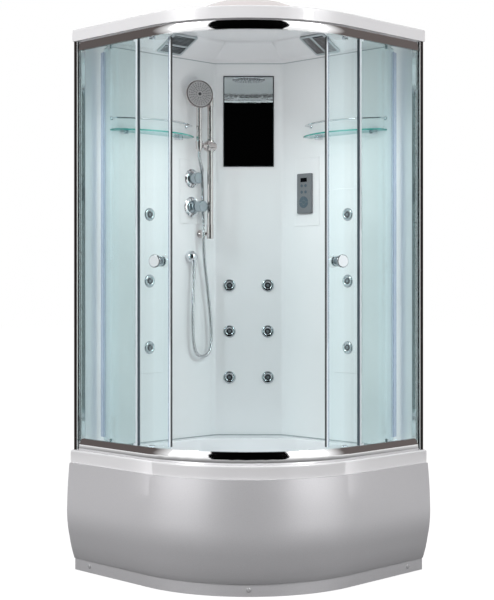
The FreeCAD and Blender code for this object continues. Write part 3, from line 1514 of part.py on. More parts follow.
front_seal = arc_slab(path_radius - magnet_half, path_radius + magnet_half, meeting_gap,
                      door_start + front_strip, seal_low, seal_high)
front_seal = front_seal.cut(arc_slab(glass_in, glass_out, door_start, door_end, door_low, door_high))
rear_seal_body = arc_slab(glass_in - seal_wall, glass_out + seal_wall, door_end - front_strip,
                          door_end + rear_seal, seal_low, seal_high)
rear_seal_body = rear_seal_body.fuse(
    arc_slab(glass_out, glass_out + fin_reach, door_end + rear_seal - seal_wall,
             door_end + rear_seal, seal_low, seal_high))
rear_seal_body = rear_seal_body.cut(
    arc_slab(glass_in, glass_out, door_start, door_end, door_low, door_high)).removeSplitter()
both_sides("left_door_seals", "right_door_seals",
           Part.makeCompound([opened_door(front_seal), opened_door(rear_seal_body)]))

for name, shape in pieces.items():
    shape.exportStep("parts/%s.step" % name)
print(len(pieces), "nodes")
whole = Part.makeCompound(list(pieces.values())).BoundBox
print("box x %.2f %.2f y %.2f %.2f z %.2f %.2f" % (
    whole.XMin, whole.XMax, whole.YMin, whole.YMax, whole.ZMin, whole.ZMax))
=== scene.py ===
import json
import math
import bpy
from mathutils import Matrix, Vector

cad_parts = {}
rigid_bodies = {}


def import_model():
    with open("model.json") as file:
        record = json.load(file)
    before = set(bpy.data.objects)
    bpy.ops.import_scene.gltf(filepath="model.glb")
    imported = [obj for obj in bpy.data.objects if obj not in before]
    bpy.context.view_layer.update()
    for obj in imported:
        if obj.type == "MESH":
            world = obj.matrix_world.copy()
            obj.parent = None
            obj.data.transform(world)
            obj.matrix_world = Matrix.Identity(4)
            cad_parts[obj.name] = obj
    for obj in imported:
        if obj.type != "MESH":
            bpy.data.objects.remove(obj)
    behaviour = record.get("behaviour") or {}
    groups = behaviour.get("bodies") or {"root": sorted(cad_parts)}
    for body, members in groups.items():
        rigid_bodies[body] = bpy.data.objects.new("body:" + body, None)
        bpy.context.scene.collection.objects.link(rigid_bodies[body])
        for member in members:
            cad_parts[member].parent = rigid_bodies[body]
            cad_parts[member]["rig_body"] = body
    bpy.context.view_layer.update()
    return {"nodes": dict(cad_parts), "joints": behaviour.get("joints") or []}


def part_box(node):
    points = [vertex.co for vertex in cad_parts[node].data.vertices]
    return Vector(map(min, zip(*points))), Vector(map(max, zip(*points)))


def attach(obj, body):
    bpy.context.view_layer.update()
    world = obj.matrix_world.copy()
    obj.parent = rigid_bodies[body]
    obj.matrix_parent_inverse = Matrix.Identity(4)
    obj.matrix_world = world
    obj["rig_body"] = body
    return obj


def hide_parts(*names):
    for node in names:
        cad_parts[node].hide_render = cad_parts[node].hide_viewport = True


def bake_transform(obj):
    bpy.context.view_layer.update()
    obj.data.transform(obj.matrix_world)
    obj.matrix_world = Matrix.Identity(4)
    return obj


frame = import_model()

nodes = frame["nodes"]


# Camera: level, at chest height, square to the middle of the curved front. Its place and lens are
# the ones that bring the rails' ends, the doors and the tray's rim to where the photograph has them.
camera_data = bpy.data.cameras.new("camera")
camera_data.lens = 79.47
camera_data.shift_x = -0.0027
camera_data.shift_y = -0.0233
camera = bpy.data.objects.new("camera", camera_data)
camera.location = (0.0, -5.32834, 1.1225)
camera.rotation_euler = (math.radians(90), 0, 0)
bpy.context.collection.objects.link(camera)
bpy.context.scene.camera = camera
bpy.context.scene.view_settings.view_transform = "Standard"


# Hose: 14 mm shower hose, a chrome strip wound over rubber. It is screwed to the handset's nut,
# hangs down behind the two taps in a loop and rises to the outlet on the wall. The strip's turns
# are about 3 mm apart, and drawn 6 mm apart so that they show.
side = 1.0
front_radius = 0.55
apron_overhang = 0.0184
wall_gap = 0.008
wall_inset = 0.037
root2 = math.sqrt(2)
corner_y = (root2 * (side - front_radius) + front_radius + apron_overhang + root2 * wall_gap) / 2


def room_point(a, b, z):
    """A place by its distances from the room corner along the left and the right wall."""
    return Vector(((b - a) / root2, corner_y - (a + b) / root2, z))


def left_wall(along, off, z):
    return room_point(along, wall_inset + off, z)


def right_wall(along, off, z):
    return room_point(wall_inset + off, along, z)


def linear(code):
    """A scene colour from an sRGB hex code."""
    parts = [int(code[i:i + 2], 16) / 255 for i in (1, 3, 5)]
    return [p / 12.92 if p <= 0.04045 else ((p + 0.055) / 1.055) ** 2.4 for p in parts] + [1.0]


def new_material(name):
    material = bpy.data.materials.new(name)
    material.use_nodes = True
    material.node_tree.nodes.clear()
    return material


def add(material, kind, settings=None, links=None):
    """Adds a node, sets its values by property or input name, and links other nodes into it."""
    made = material.node_tree.nodes.new(kind)
    for name, value in (settings or {}).items():
        if name == "colours":
            made.color_ramp.elements[0].color = linear(value[0])
            made.color_ramp.elements[1].color = linear(value[1])
        elif isinstance(name, str) and hasattr(made, name):
            setattr(made, name, value)
        else:
            made.inputs[name].default_value = value
    for name, (source, output) in (links or {}).items():
        material.node_tree.links.new(source.outputs[output], made.inputs[name])
    return made


def finish_material(material, shader):
    add(material, "ShaderNodeOutputMaterial", {}, {"Surface": (shader, 0)})


turn_pitch = 0.006
waves_per_scale = 10 / math.pi
groove_depth = 0.001
wound_chrome = new_material("wound chrome strip")
place = add(wound_chrome, "ShaderNodeTexCoord")
turns = add(wound_chrome, "ShaderNodeTexWave",
            {"bands_direction": "Z", "Scale": 1 / turn_pitch / waves_per_scale, "Distortion": 0.0},
            {"Vector": (place, "Object")})
grooves = add(wound_chrome, "ShaderNodeBump", {"Strength": 0.5, "Distance": groove_depth},
              {"Height": (turns, "Fac")})
# The strip's colour is painted darker down in each groove between the turns: painted shade in the
# creases.
tone = add(wound_chrome, "ShaderNodeValToRGB", {"colours": ("#8A8D90", "#F1F1F2")},
           {"Fac": (turns, "Fac")})
finish_material(wound_chrome, add(
    wound_chrome, "ShaderNodeBsdfPrincipled", {"Metallic": 1.0, "Roughness": 0.2},
    {"Base Color": (tone, "Color"), "Normal": (grooves, "Normal")}))

# Each point is a distance along the left wall, a distance off it, and a height.
hose_route = [
    (0.3963, 0.0640, 1.6900), (0.3963, 0.0640, 1.6640), (0.3887, 0.0620, 1.6408),
    (0.3740, 0.0575, 1.6215), (0.3575, 0.0420, 1.6070), (0.3458, 0.0276, 1.5884),
    (0.3405, 0.0243, 1.5647), (0.3386, 0.0238, 1.5220), (0.3386, 0.0260, 1.4660),
    (0.3434, 0.0334, 1.4060), (0.3506, 0.0416, 1.3460), (0.3450, 0.0374, 1.2840),
    (0.3334, 0.0304, 1.2260), (0.3206, 0.0270, 1.1660), (0.3116, 0.0262, 1.1090),
    (0.3036, 0.0260, 1.0530), (0.2956, 0.0260, 0.9970), (0.2904, 0.0262, 0.9430),
    (0.2895, 0.0264, 0.8897), (0.2983, 0.0267, 0.8486), (0.3116, 0.0270, 0.8315),
    (0.3312, 0.0272, 0.8220), (0.3528, 0.0272, 0.8220), (0.3724, 0.0270, 0.8315),
    (0.3857, 0.0267, 0.8486), (0.3944, 0.0264, 0.8897), (0.3966, 0.0260, 0.9430),
    (0.3969, 0.0254, 1.0000), (0.3960, 0.0248, 1.0560), (0.3940, 0.0243, 1.1080),
    (0.3914, 0.0241, 1.1500), (0.3900, 0.0240, 1.1820), (0.3900, 0.0240, 1.2100)]
hose_width = 0.014
hose_curve = bpy.data.curves.new("hose_tube", "CURVE")
hose_curve.dimensions = "3D"
spline = hose_curve.splines.new("NURBS")
spline.points.add(len(hose_route) - 1)
for point, (along, off, height) in zip(spline.points, hose_route):
    point.co = (*left_wall(along, off, height), 1)
spline.order_u = 3
spline.use_endpoint_u = True
hose_curve.resolution_u = 10
hose = bpy.data.objects.new("hose_tube", hose_curve)
bpy.context.collection.objects.link(hose)
centreline = bpy.data.meshes.new_from_object(hose)
hose_curve.bevel_depth = hose_width / 2
hose_curve.bevel_resolution = 6
hose_curve.use_fill_caps = True
hose_curve.materials.append(wound_chrome)
bpy.ops.object.select_all(action="DESELECT")
hose.select_set(True)
bpy.context.view_layer.objects.active = hose
bpy.ops.object.convert(target="MESH")
bpy.ops.object.shade_smooth()
hose = bpy.context.object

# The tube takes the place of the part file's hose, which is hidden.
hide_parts("hose")
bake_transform(hose)


# Studio: a white floor that keeps a light shadow, two soft lamps high at the sides, and four weak
# ones inside the cabin. Polished metal and glass also mirror the white room, black cloths in front
# and brown cloths at the sides, which stand where the rails' black middle and brown flanks look.
shade_near = 1.1
shade_far = 3.8
floor_glow = 0.94
floor_size = 60
floor_white = new_material("white floor")
path = add(floor_white, "ShaderNodeLightPath")
place = add(floor_white, "ShaderNodeTexCoord")
away = add(floor_white, "ShaderNodeVectorMath", {"operation": "LENGTH"}, {0: (place, "Object")})
open_floor = add(floor_white, "ShaderNodeMapRange", {"From Min": shade_near, "From Max": shade_far},
                 {"Value": (away, "Value")})
mirrored = add(floor_white, "ShaderNodeMath", {"operation": "MULTIPLY"},
               {0: (path, "Is Glossy Ray"), 1: (open_floor, "Result")})
straight_on = add(floor_white, "ShaderNodeMath", {"operation": "MAXIMUM"},
                  {0: (path, "Is Camera Ray"), 1: (path, "Is Transmission Ray")})
seen = add(floor_white, "ShaderNodeMath", {"operation": "MAXIMUM"},
           {0: (straight_on, 0), 1: (mirrored, 0)})
glow_share = add(floor_white, "ShaderNodeMath", {"operation": "MULTIPLY", 1: floor_glow},
                 {0: (seen, 0)})
paint = add(floor_white, "ShaderNodeBsdfDiffuse", {"Color": linear("#747474")})
glow = add(floor_white, "ShaderNodeEmission", {"Color": linear("#FFFFFF")},
           {"Strength": (glow_share, 0)})
finish_material(floor_white, add(floor_white, "ShaderNodeAddShader", {},
                                 {0: (paint, 0), 1: (glow, 0)}))
bpy.ops.object.select_all(action="DESELECT")
bpy.ops.mesh.primitive_plane_add(size=floor_size, location=(0, 0, 0))
floor = bpy.context.object
floor.name = "floor"
floor.data.materials.append(floor_white)

# The white room is seen and mirrored at full strength, and lights the object with less.
light_on_object = 0.42
light_as_seen = 1.0
world = bpy.data.worlds.new("studio")
bpy.context.scene.world = world
world.use_nodes = True
world.node_tree.nodes.clear()
path = add(world, "ShaderNodeLightPath")
straight_on = add(world, "ShaderNodeMath", {"operation": "MAXIMUM"},
                  {0: (path, "Is Camera Ray"), 1: (path, "Is Glossy Ray")})
seen = add(world, "ShaderNodeMath", {"operation": "MAXIMUM"},
           {0: (straight_on, 0), 1: (path, "Is Transmission Ray")})
strength = add(world, "ShaderNodeMapRange", {"To Min": light_on_object, "To Max": light_as_seen},
               {"Value": (seen, 0)})
sky = add(world, "ShaderNodeBackground", {"Color": linear("#FFFFFF")},
          {"Strength": (strength, "Result")})
add(world, "ShaderNodeOutputWorld", {}, {"Surface": (sky, 0)})


def cloth(name, low, high, strength, corners):
    """A flat cloth seen only in reflections, shaded from one colour to another along its UV."""
    mesh = bpy.data.meshes.new(name)
    mesh.from_pydata(corners, [], [(0, 1, 2, 3)])
    across = mesh.uv_layers.new(name="across")
    for loop, share in zip(across.data, (0, 1, 1, 0)):
        loop.uv = (share, 0)
    made = bpy.data.objects.new(name, mesh)
    bpy.context.collection.objects.link(made)
    weave = new_material(name + " weave")
    place = add(weave, "ShaderNodeTexCoord")
    apart = add(weave, "ShaderNodeSeparateXYZ", {}, {"Vector": (place, "UV")})
    tone = add(weave, "ShaderNodeValToRGB", {"colours": (low, high)}, {"Fac": (apart, "X")})
    finish_material(weave, add(weave, "ShaderNodeEmission", {"Strength": strength},
                               {"Color": (tone, "Color")}))
    mesh.materials.append(weave)
    made.visible_camera = False
    made.visible_diffuse = False
    made.visible_shadow = False
    made.visible_transmission = False
    made.visible_volume_scatter = False


black = "#030303"
front_y = -6.6
front_half = 4.1
cloth_foot = 0.02
cloth_top = 14.0
near_y = -2.2
near_half = 1.1
over_y = -1.2
over_half = 1.3
black_cloths = {
    "front cloth": [(-front_half, front_y, cloth_foot), (front_half, front_y, cloth_foot),
                    (front_half, front_y, cloth_top), (-front_half, front_y, cloth_top)],
    "floor cloth": [(-near_half, near_y, cloth_foot), (-front_half, front_y, cloth_foot),
                    (front_half, front_y, cloth_foot), (near_half, near_y, cloth_foot)],
    "ceiling cloth": [(-front_half, front_y, cloth_top), (-over_half, over_y, cloth_top),
                      (over_half, over_y, cloth_top), (front_half, front_y, cloth_top)]}
for name, corners in black_cloths.items():
    cloth(name, black, black, 1.0, corners)

# Each run of the side cloths: where it starts and ends, its two colours, and its strength, which
# is raised on the right.
side_runs = [
    (-6.6, -1.9, "#FFFFFF", "#FFFFFF", 1.3),
    (-1.9, -0.68, "#FFFFFF", "#635C5A", 1.0),
    (-0.68, 1.4, "#635C5A", "#67605E", 1.0),
    (1.4, 3.2, "#9CB0B4", "#8799A0", 1.0)]
side_lift = {-1: 1.0, 1: 1.2}
for way, lift in side_lift.items():
    for index, (near, far, low, high, strength) in enumerate(side_runs):
        x = front_half * way
        cloth("side cloth %d %d" % (way, index), low, high, strength * lift,
              [(x, near, cloth_foot), (x, far, cloth_foot),
               (x, far, cloth_top), (x, near, cloth_top)])


def lamp(name, width, length, power, spot, target, inside=False):
    """A soft lamp; the ones inside the cabin aren't mirrored or seen themselves."""
    data = bpy.data.lights.new(name, "AREA")
    data.shape = "RECTANGLE"
    data.size = width
    data.size_y = length
    data.energy = power
    made = bpy.data.objects.new(name, data)
    made.location = spot
    made.rotation_euler = (Vector(target) - Vector(spot)).to_track_quat("-Z", "Y").to_euler()
    made.visible_camera = False
    made.visible_glossy = not inside
    made.visible_transmission = not inside
    bpy.context.collection.objects.link(made)


lamp("left lamp", 1.8, 2.0, 170, (-3.8, -2.9, 3.9), (0, 0, 1.0))
lamp("right lamp", 1.8, 2.0, 134, (3.8, -2.9, 3.9), (0, 0, 1.0))
lamp("doorway fill", 0.9, 1.0, 0.8, (0, -0.42, 0.85), (0, 0.3, 0.8), inside=True)
lamp("upper fill", 0.9, 0.3, 2.05, (0, -0.25, 1.65), (0, 0.45, 1.92), inside=True)
lamp("left side fill", 0.2, 1.5, 0.5, (-0.34, -0.2, 1.4), (-0.68, 0.0, 1.45), inside=True)
lamp("right side fill", 0.2, 1.5, 0.48, (0.34, -0.2, 1.4), (0.68, 0.0, 1.45), inside=True)


# Shell: tray, back panels, corner column and roof, all white sanitary acrylic, formed over a mould
# and backed with resin. The face is glossy with the faint orange peel of a formed sheet. A thin
# bead of grey silicone seals the panels to the tray and the roof.
peel_size = 0.006
peel_depth = 0.001
sheet_colours = {"white formed acrylic": ("#EAE9EB", "#F1F0F2"),
                 "cool formed acrylic": ("#E7E9EA", "#EFF0F1")}
sheets = []
for name, colours in sheet_colours.items():
    acrylic = new_material(name)
    place = add(acrylic, "ShaderNodeTexCoord")
    cloudy = add(acrylic, "ShaderNodeTexNoise", {"Scale": 3.0, "Detail": 2.0},
                 {"Vector": (place, "Object")})
    tone = add(acrylic, "ShaderNodeValToRGB", {"colours": colours}, {"Fac": (cloudy, "Fac")})
    peel = add(acrylic, "ShaderNodeTexNoise", {"Scale": 1 / peel_size, "Detail": 1.0},
               {"Vector": (place, "Object")})
    peeled = add(acrylic, "ShaderNodeBump", {"Strength": 0.03, "Distance": peel_depth},
                 {"Height": (peel, "Fac")})
    finish_material(acrylic, add(
        acrylic, "ShaderNodeBsdfPrincipled",
        {"Roughness": 0.24, "Coat Weight": 0.5, "Coat Roughness": 0.04},
        {"Base Color": (tone, "Color"), "Normal": (peeled, "Normal")}))
    sheets.append(acrylic)
white_acrylic, cool_acrylic = sheets
weld_reach = 0.000002

# How much of a face's normal has to lie along a direction for the face to look that way.
squarely = 0.9
mostly = 0.5


def grainy(name, colours, per_metre, settings, detail=2.0):
    """A material whose colour drifts between two near tones, in so many grains to the metre."""
    made = new_material(name)
    place = add(made, "ShaderNodeTexCoord")
    grain = add(made, "ShaderNodeTexNoise", {"Scale": per_metre, "Detail": detail},
                {"Vector": (place, "Object")})
    tone = add(made, "ShaderNodeValToRGB", {"colours": colours}, {"Fac": (grain, "Fac")})
    finish_material(made, add(made, "ShaderNodeBsdfPrincipled", settings,
                              {"Base Color": (tone, "Color")}))
    return made


def pick_faces(piece, wanted):
    """Opens a piece in edit mode with only the faces that wanted(face) is true of selected."""
    bpy.ops.object.select_all(action="DESELECT")
    piece.select_set(True)
    bpy.context.view_layer.objects.active = piece
    bpy.context.tool_settings.mesh_select_mode = (False, False, True)
    bpy.ops.object.mode_set(mode="EDIT")
    bpy.ops.mesh.select_all(action="DESELECT")
    bpy.ops.object.mode_set(mode="OBJECT")
    for face in piece.data.polygons:
        face.select = wanted(face)
    bpy.ops.object.mode_set(mode="EDIT")


def smooth(piece, degrees=30):
    """Leaves edit mode and shades the piece smooth, apart from edges sharper than that."""
    bpy.ops.object.mode_set(mode="OBJECT")
    bpy.ops.object.shade_smooth_by_angle(angle=math.radians(degrees))
    firm = piece.modifiers.new("firm", "WEIGHTED_NORMAL")
    firm.keep_sharp = True
    bpy.ops.object.modifier_apply(modifier="firm")


def cut_through(piece, spot, normal):
    """Cuts a piece's faces along a plane, so that its two sides can take different materials."""
    pick_faces(piece, lambda face: True)
    bpy.ops.mesh.bisect(plane_co=spot, plane_no=normal)
    smooth(piece)


def polish(name, *finishes):
    """A merged and smooth-shaded copy of a part, which stands for it and moves as it does."""
    piece = bpy.data.objects.new(name + "_skin", nodes[name].data.copy())
    bpy.context.collection.objects.link(piece)
    piece.data.materials.clear()
    for finish in finishes:
        piece.data.materials.append(finish)
    pick_faces(piece, lambda face: True)
    bpy.ops.mesh.remove_doubles(threshold=weld_reach)
    smooth(piece)
    for face in piece.data.polygons:
        face.material_index = 0
    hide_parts(name)
    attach(piece, nodes[name]["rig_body"])
    return piece


polish("tray", white_acrylic)
polish("roof", white_acrylic)
silicone = grainy("grey silicone bead", ("#969EA0", "#A8AFB1"), 90, {"Roughness": 0.35})
bead_width = 0.0035
for name in ("left_wall", "right_wall", "centre_column"):
    wall = polish(name, cool_acrylic, silicone)
    foot, top = (corner.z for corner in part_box(name))
    for height in (foot + bead_width, top - bead_width):
        cut_through(wall, (0, 0, height), (0, 0, 1))
    for face in wall.data.polygons:
        face.material_index = 0 if foot + bead_width < face.center.z < top - bead_width else 1


# Reliefs: low panels formed in the back walls, two round the taps and the control panel, and two
# round the side jets. Each has a soft raised border 12 mm wide that stands 3 mm off the wall.
relief_rise = 0.003
relief_border = 0.012
relief_floor = 0.0006
relief_round = 0.0028

# Each relief: its wall, where it starts and ends along it, and its lowest and highest point.
reliefs = {
    "left_tap_relief": (left_wall, 0.249, 0.450, 1.387, 1.660),
    "right_panel_relief": (right_wall, 0.317, 0.460, 1.378, 1.668),
    "left_jet_relief": (left_wall, 0.540, 0.694, 0.763, 1.526),
    "right_jet_relief": (right_wall, 0.540, 0.694, 0.763, 1.526)}
for name, (wall, near, far, low, high) in reliefs.items():
    middle = wall((near + far) / 2, relief_rise / 2, (low + high) / 2)
    outward = (wall(0, 1, 0) - wall(0, 0, 0)).normalized()
    turn = math.atan2(outward.x, -outward.y)
    bpy.ops.object.select_all(action="DESELECT")
    bpy.ops.mesh.primitive_cube_add(size=1, location=middle, rotation=(0, 0, turn))
    relief = bpy.context.object
    relief.name = name
    relief.scale = (far - near, relief_rise, high - low)
    bpy.ops.object.transform_apply(location=True, rotation=True, scale=True)
    pick_faces(relief, lambda face: face.normal.dot(outward) > squarely)
    bpy.ops.mesh.inset(thickness=relief_border)
    bpy.ops.transform.translate(value=outward * (relief_floor - relief_rise))
    bpy.ops.object.mode_set(mode="OBJECT")
    edge_round = relief.modifiers.new("edge round", "BEVEL")
    edge_round.width = relief_round
    edge_round.segments = 4
    bpy.ops.object.modifier_apply(modifier="edge round")
    smooth(relief, degrees=60)
    relief.data.materials.append(cool_acrylic)
    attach(relief, "cabin")


# Apron: the same sheet, bowed, with a satin silver lacquer sprayed on. Its fine metal flakes lie in
# the coat and give a soft, slightly grained sheen. The toe strip below is part of it.
flake_size = 0.0015
spray_depth = 0.001
silver = new_material("satin silver lacquer")
place = add(silver, "ShaderNodeTexCoord")
flakes = add(silver, "ShaderNodeTexVoronoi", {"Scale": 1 / flake_size},
             {"Vector": (place, "Object")})
tone = add(silver, "ShaderNodeValToRGB", {"colours": ("#E6E5E8", "#D8D7DA")},
           {"Fac": (flakes, "Distance")})
drift = add(silver, "ShaderNodeTexNoise", {"Scale": 60.0, "Detail": 2.0},
            {"Vector": (place, "Object")})
sprayed = add(silver, "ShaderNodeBump", {"Strength": 0.04, "Distance": spray_depth},
              {"Height": (drift, "Fac")})
finish_material(silver, add(
    silver, "ShaderNodeBsdfPrincipled",
    {"Metallic": 0.45, "Roughness": 0.42, "Coat Weight": 0.15, "Coat Roughness": 0.35},
    {"Base Color": (tone, "Color"), "Normal": (sprayed, "Normal")}))
polish("apron", silver)


# Screw caps: three round caps of moulded plastic, silver like the apron, pressed over the screws
# that hold the toe strip to the frame.
cap_silver = grainy("moulded silver cap", ("#C4C4C6", "#D6D6D8"), 250,
                    {"Metallic": 0.3, "Roughness": 0.25})
polish("screw_caps", cap_silver)


# Rails and posts: extruded aluminium, polished to a mirror and anodised clear. Faint draw lines run
# along them and soften the mirror a little. The posts' outer bars are coloured dark brownish grey,
# a painted reflection of the dark room behind the camera, and their inner flanks a little brighter
# than the rails, a painted reflection of the bright cabin.
line_across = 0.0011
line_along = 0.025
rail_lines = (1, 1 / line_along, 1 / line_across)
post_lines = (1 / line_across, 1 / line_across, 1 / line_along)
extrusions = {
    "polished anodised rail": ("#E9E9EA", rail_lines),
    # The posts' two colours are painted reflections: bright on the inner flanks, dark on the outer
    # bars.
    "post inner flank, painted bright reflection": ("#F2F3F4", post_lines),
    "post outer bar, painted dark reflection": ("#6E6B6B", post_lines)}
extruded = []
for finish, (colour, scale) in extrusions.items():
    polished = new_material(finish)
    place = add(polished, "ShaderNodeTexCoord")
    drawn = add(polished, "ShaderNodeMapping", {"Scale": scale}, {"Vector": (place, "Object")})
    lines = add(polished, "ShaderNodeTexNoise", {"Scale": 1.0, "Detail": 3.0},
                {"Vector": (drawn, 0)})
    rough = add(polished, "ShaderNodeMapRange", {"To Min": 0.03, "To Max": 0.09},
                {"Value": (lines, "Fac")})
    finish_material(polished, add(
        polished, "ShaderNodeBsdfPrincipled", {"Base Color": linear(colour), "Metallic": 1.0},
        {"Roughness": (rough, "Result")}))
    extruded.append(polished)
rail_metal, post_flank_painted_bright, post_bar_painted_dark = extruded
for name in ("bottom_rail", "top_rail"):
    polish(name, rail_metal)
# Faces farther than this from the middle are the posts' outer bars, which take the painted dark
# reflection.
painted_dark_from = 0.6767
for name, way in (("left_side_post", -1), ("right_side_post", 1)):
    post = polish(name, post_flank_painted_bright, post_bar_painted_dark)
    cut_through(post, (way * painted_dark_from, 0, 0), (1, 0, 0))
    for face in post.data.polygons:
        face.material_index = 1 if abs(face.center.x) > painted_dark_from else 0


# Chrome fittings: plated brass or plated plastic, bright and hard, with a trace of dried water.
# The plate is warm on the shower set, cool on the jets and door knobs, and grey on the taps'
# knobs, as the photograph shows it.
spots_per_metre = 45
spot_spread = (0.4, 0.8)
spot_haze = 0.1
plated = {
    "bright chrome plate": ("#E4E5E8", 0.04, (
        "drain_cover", "shelf_guards", "shelf_clamps", "hose_outlet", "left_roller_brackets",
        "right_roller_brackets", "rain_shower", "tap_plates")),
    "warm chrome plate": ("#D2C9C7", 0.05, (
        "riser_rail", "riser_brackets", "slider", "handset_cradle")),
    "cool chrome plate": ("#BFC5C8", 0.08, ("jet_rings", "left_door_knob", "right_door_knob")),
    "grey chrome knob": ("#A7B1B6", 0.1, ("diverter_knob", "mixer_knob"))}


def patchy(name, colour, per_metre, roughness, settings, detail=2.0, spread=(0.0, 1.0)):
    """A material of one colour whose roughness drifts between two values. The pattern has so many
    patches to the metre, and spread is the part of it that the two values are laid over."""
    made = new_material(name)
    place = add(made, "ShaderNodeTexCoord")
    patches = add(made, "ShaderNodeTexNoise", {"Scale": per_metre, "Detail": detail},
                  {"Vector": (place, "Object")})
    rough = add(made, "ShaderNodeMapRange",
                {"From Min": spread[0], "From Max": spread[1],
                 "To Min": roughness[0], "To Max": roughness[1]}, {"Value": (patches, "Fac")})
    finish_material(made, add(
        made, "ShaderNodeBsdfPrincipled", {"Base Color": linear(colour), **settings},
        {"Roughness": (rough, "Result")}))
    return made


chromes = {}
for finish, (colour, least, names) in plated.items():
    chromes[finish] = patchy(finish, colour, spots_per_metre, (least, least + spot_haze),
                             {"Metallic": 1.0}, detail=3.0, spread=spot_spread)
    for name in names:
        polish(name, chromes[finish])


# Panes and shelves: clear tempered float glass. It lets nearly all light through with a faint
# blue green tint, mirrors a little of the room, and its ground edges show deep green.
smear_size = 0.12
smear_swing = 0.015
grazing_power = 5.0
glass_kinds = {"clear tempered pane": ("#F8FDFD", "#E2F0F6", 0.05),
               "clear shelf glass": ("#EDF9F8", "#DCEFF8", 0.03)}
glasses = []
for name, (tint, mirrored, usual) in glass_kinds.items():
    glass = new_material(name)
    place = add(glass, "ShaderNodeTexCoord")
    smears = add(glass, "ShaderNodeTexNoise", {"Scale": 1 / smear_size, "Detail": 2.0},
                 {"Vector": (place, "Object")})
    film = add(glass, "ShaderNodeMapRange",
               {"To Min": usual - smear_swing, "To Max": usual + smear_swing},
               {"Value": (smears, "Fac")})
    facing = add(glass, "ShaderNodeLayerWeight", {"Blend": 0.5})
    grazing = add(glass, "ShaderNodeMath", {"operation": "POWER", 1: grazing_power},
                  {0: (facing, "Facing")})
    share = add(glass, "ShaderNodeMath", {"operation": "ADD"},
                {0: (grazing, 0), 1: (film, "Result")})
    clear = add(glass, "ShaderNodeBsdfTransparent", {"Color": linear(tint)})
    gloss = add(glass, "ShaderNodeBsdfPrincipled",
                {"Base Color": linear(mirrored), "Metallic": 1.0, "Roughness": 0.02})
    finish_material(glass, add(glass, "ShaderNodeMixShader", {},
                               {0: (share, 0), 1: (clear, 0), 2: (gloss, 0)}))
    glasses.append(glass)
pane_glass, shelf_glass = glasses
edge_glass = grainy("ground green glass edge", ("#1F8279", "#48B0A4"), 30,
                    {"Roughness": 0.15, "Coat Weight": 0.4})
for name in ("left_fixed_glass", "right_fixed_glass", "left_door_glass", "right_door_glass"):
    pane = polish(name, pane_glass, edge_glass)
    for face in pane.data.polygons:
        face.material_index = 1 if abs(face.normal.z) > mostly else 0
for name in ("left_shelf", "right_shelf"):
    shelf = polish(name, shelf_glass, edge_glass)
    for face in shelf.data.polygons:
        face.material_index = 0 if abs(face.normal.z) > mostly else 1


# Seals: soft plastic profiles pushed on the panes' edges. The doors meet in a black magnet strip
# with a bright lip behind it, and have a clear fin at their rear edges. The fixed panes' free edges
# have a white profile with a dark core.
strip_colours = {
    "clear soft seal": ("#A9BCCB", "#C3D3DE"), "white seal lip": ("#D5DFE6", "#E6EEF2"),
    "dark seal core": ("#3B474F", "#4C5962"), "black magnet strip": ("#101114", "#1B1C20")}
strips = []
for name, colours in strip_colours.items():
    strip = new_material(name)
    place = add(strip, "ShaderNodeTexCoord")
    grain = add(strip, "ShaderNodeTexNoise", {"Scale": 120.0, "Detail": 2.0},
                {"Vector": (place, "Object")})
    tone = add(strip, "ShaderNodeValToRGB", {"colours": colours}, {"Fac": (grain, "Fac")})
    body = add(strip, "ShaderNodeBsdfPrincipled", {"Roughness": 0.3},
               {"Base Color": (tone, "Color")})
    if name == "clear soft seal":
        through = add(strip, "ShaderNodeBsdfTransparent", {"Color": linear("#EEF1FA")})
        cloudy = add(strip, "ShaderNodeMapRange", {"To Min": 0.1, "To Max": 0.2},
                     {"Value": (grain, "Fac")})
        body = add(strip, "ShaderNodeMixShader", {},
                   {0: (cloudy, "Result"), 1: (through, 0), 2: (body, 0)})
    finish_material(strip, body)
    strips.append(strip)
clear_seal, white_lip, dark_core, black_magnet = strips
magnet_width = 0.0065
for name, way in (("left_door_seals", -1), ("right_door_seals", 1)):
    low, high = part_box(name)
    meeting_edge = high.x if way < 0 else low.x
    lip_start = abs(meeting_edge) + magnet_width
    lip_end = lip_start + magnet_width
    seals = polish(name, clear_seal, white_lip, black_magnet)
    pick_faces(seals, lambda face: abs(face.center.x) < lip_end)
    bpy.ops.mesh.bisect(plane_co=(way * lip_start, 0, 0), plane_no=(1, 0, 0))
    smooth(seals)
    for face in seals.data.polygons:
        reach = abs(face.center.x)
        face.material_index = 2 if reach < lip_start else 1 if reach < lip_end else 0
core_facing = 0.7
edge_strips = polish("glass_edge_strips", white_lip, dark_core)
for face in edge_strips.data.polygons:
    way = 1 if face.center.x > 0 else -1
    towards_door = Vector((-way, -1, 0)).normalized()
    face.material_index = 1 if face.normal.dot(towards_door) > core_facing else 0


# Mirror: silvered float glass stuck to the column, with a narrow ground bevel round it. A thin dark
# channel of anodised aluminium holds its edge.
silvered = patchy("silvered mirror", "#E6ECEB", 12, (0.0, 0.02), {"Metallic": 1.0})
nodes["mirror"].data.materials.clear()
nodes["mirror"].data.materials.append(silvered)
dark_channel = patchy("dark anodised channel", "#4A4E52", 300, (0.25, 0.4), {"Metallic": 0.8})
channel_face = 0.0025
channel_lap = 0.0012
channel_lift = 0.0004
low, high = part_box("mirror")
margin = channel_face - channel_lap
bpy.ops.object.select_all(action="DESELECT")
bpy.ops.mesh.primitive_cube_add(size=1, location=(low + high) / 2)
channel = bpy.context.object
channel.name = "mirror_channel"
channel.scale = (high.x - low.x + 2 * margin, high.y - low.y + 2 * channel_lift,
                 high.z - low.z + 2 * margin)
bpy.ops.object.transform_apply(location=True, rotation=True, scale=True)
pick_faces(channel, lambda face: abs(face.normal.y) > squarely)
bpy.ops.mesh.inset(thickness=channel_face)
bpy.ops.mesh.bridge_edge_loops()
smooth(channel)
channel.data.materials.append(dark_channel)
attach(channel, "cabin")


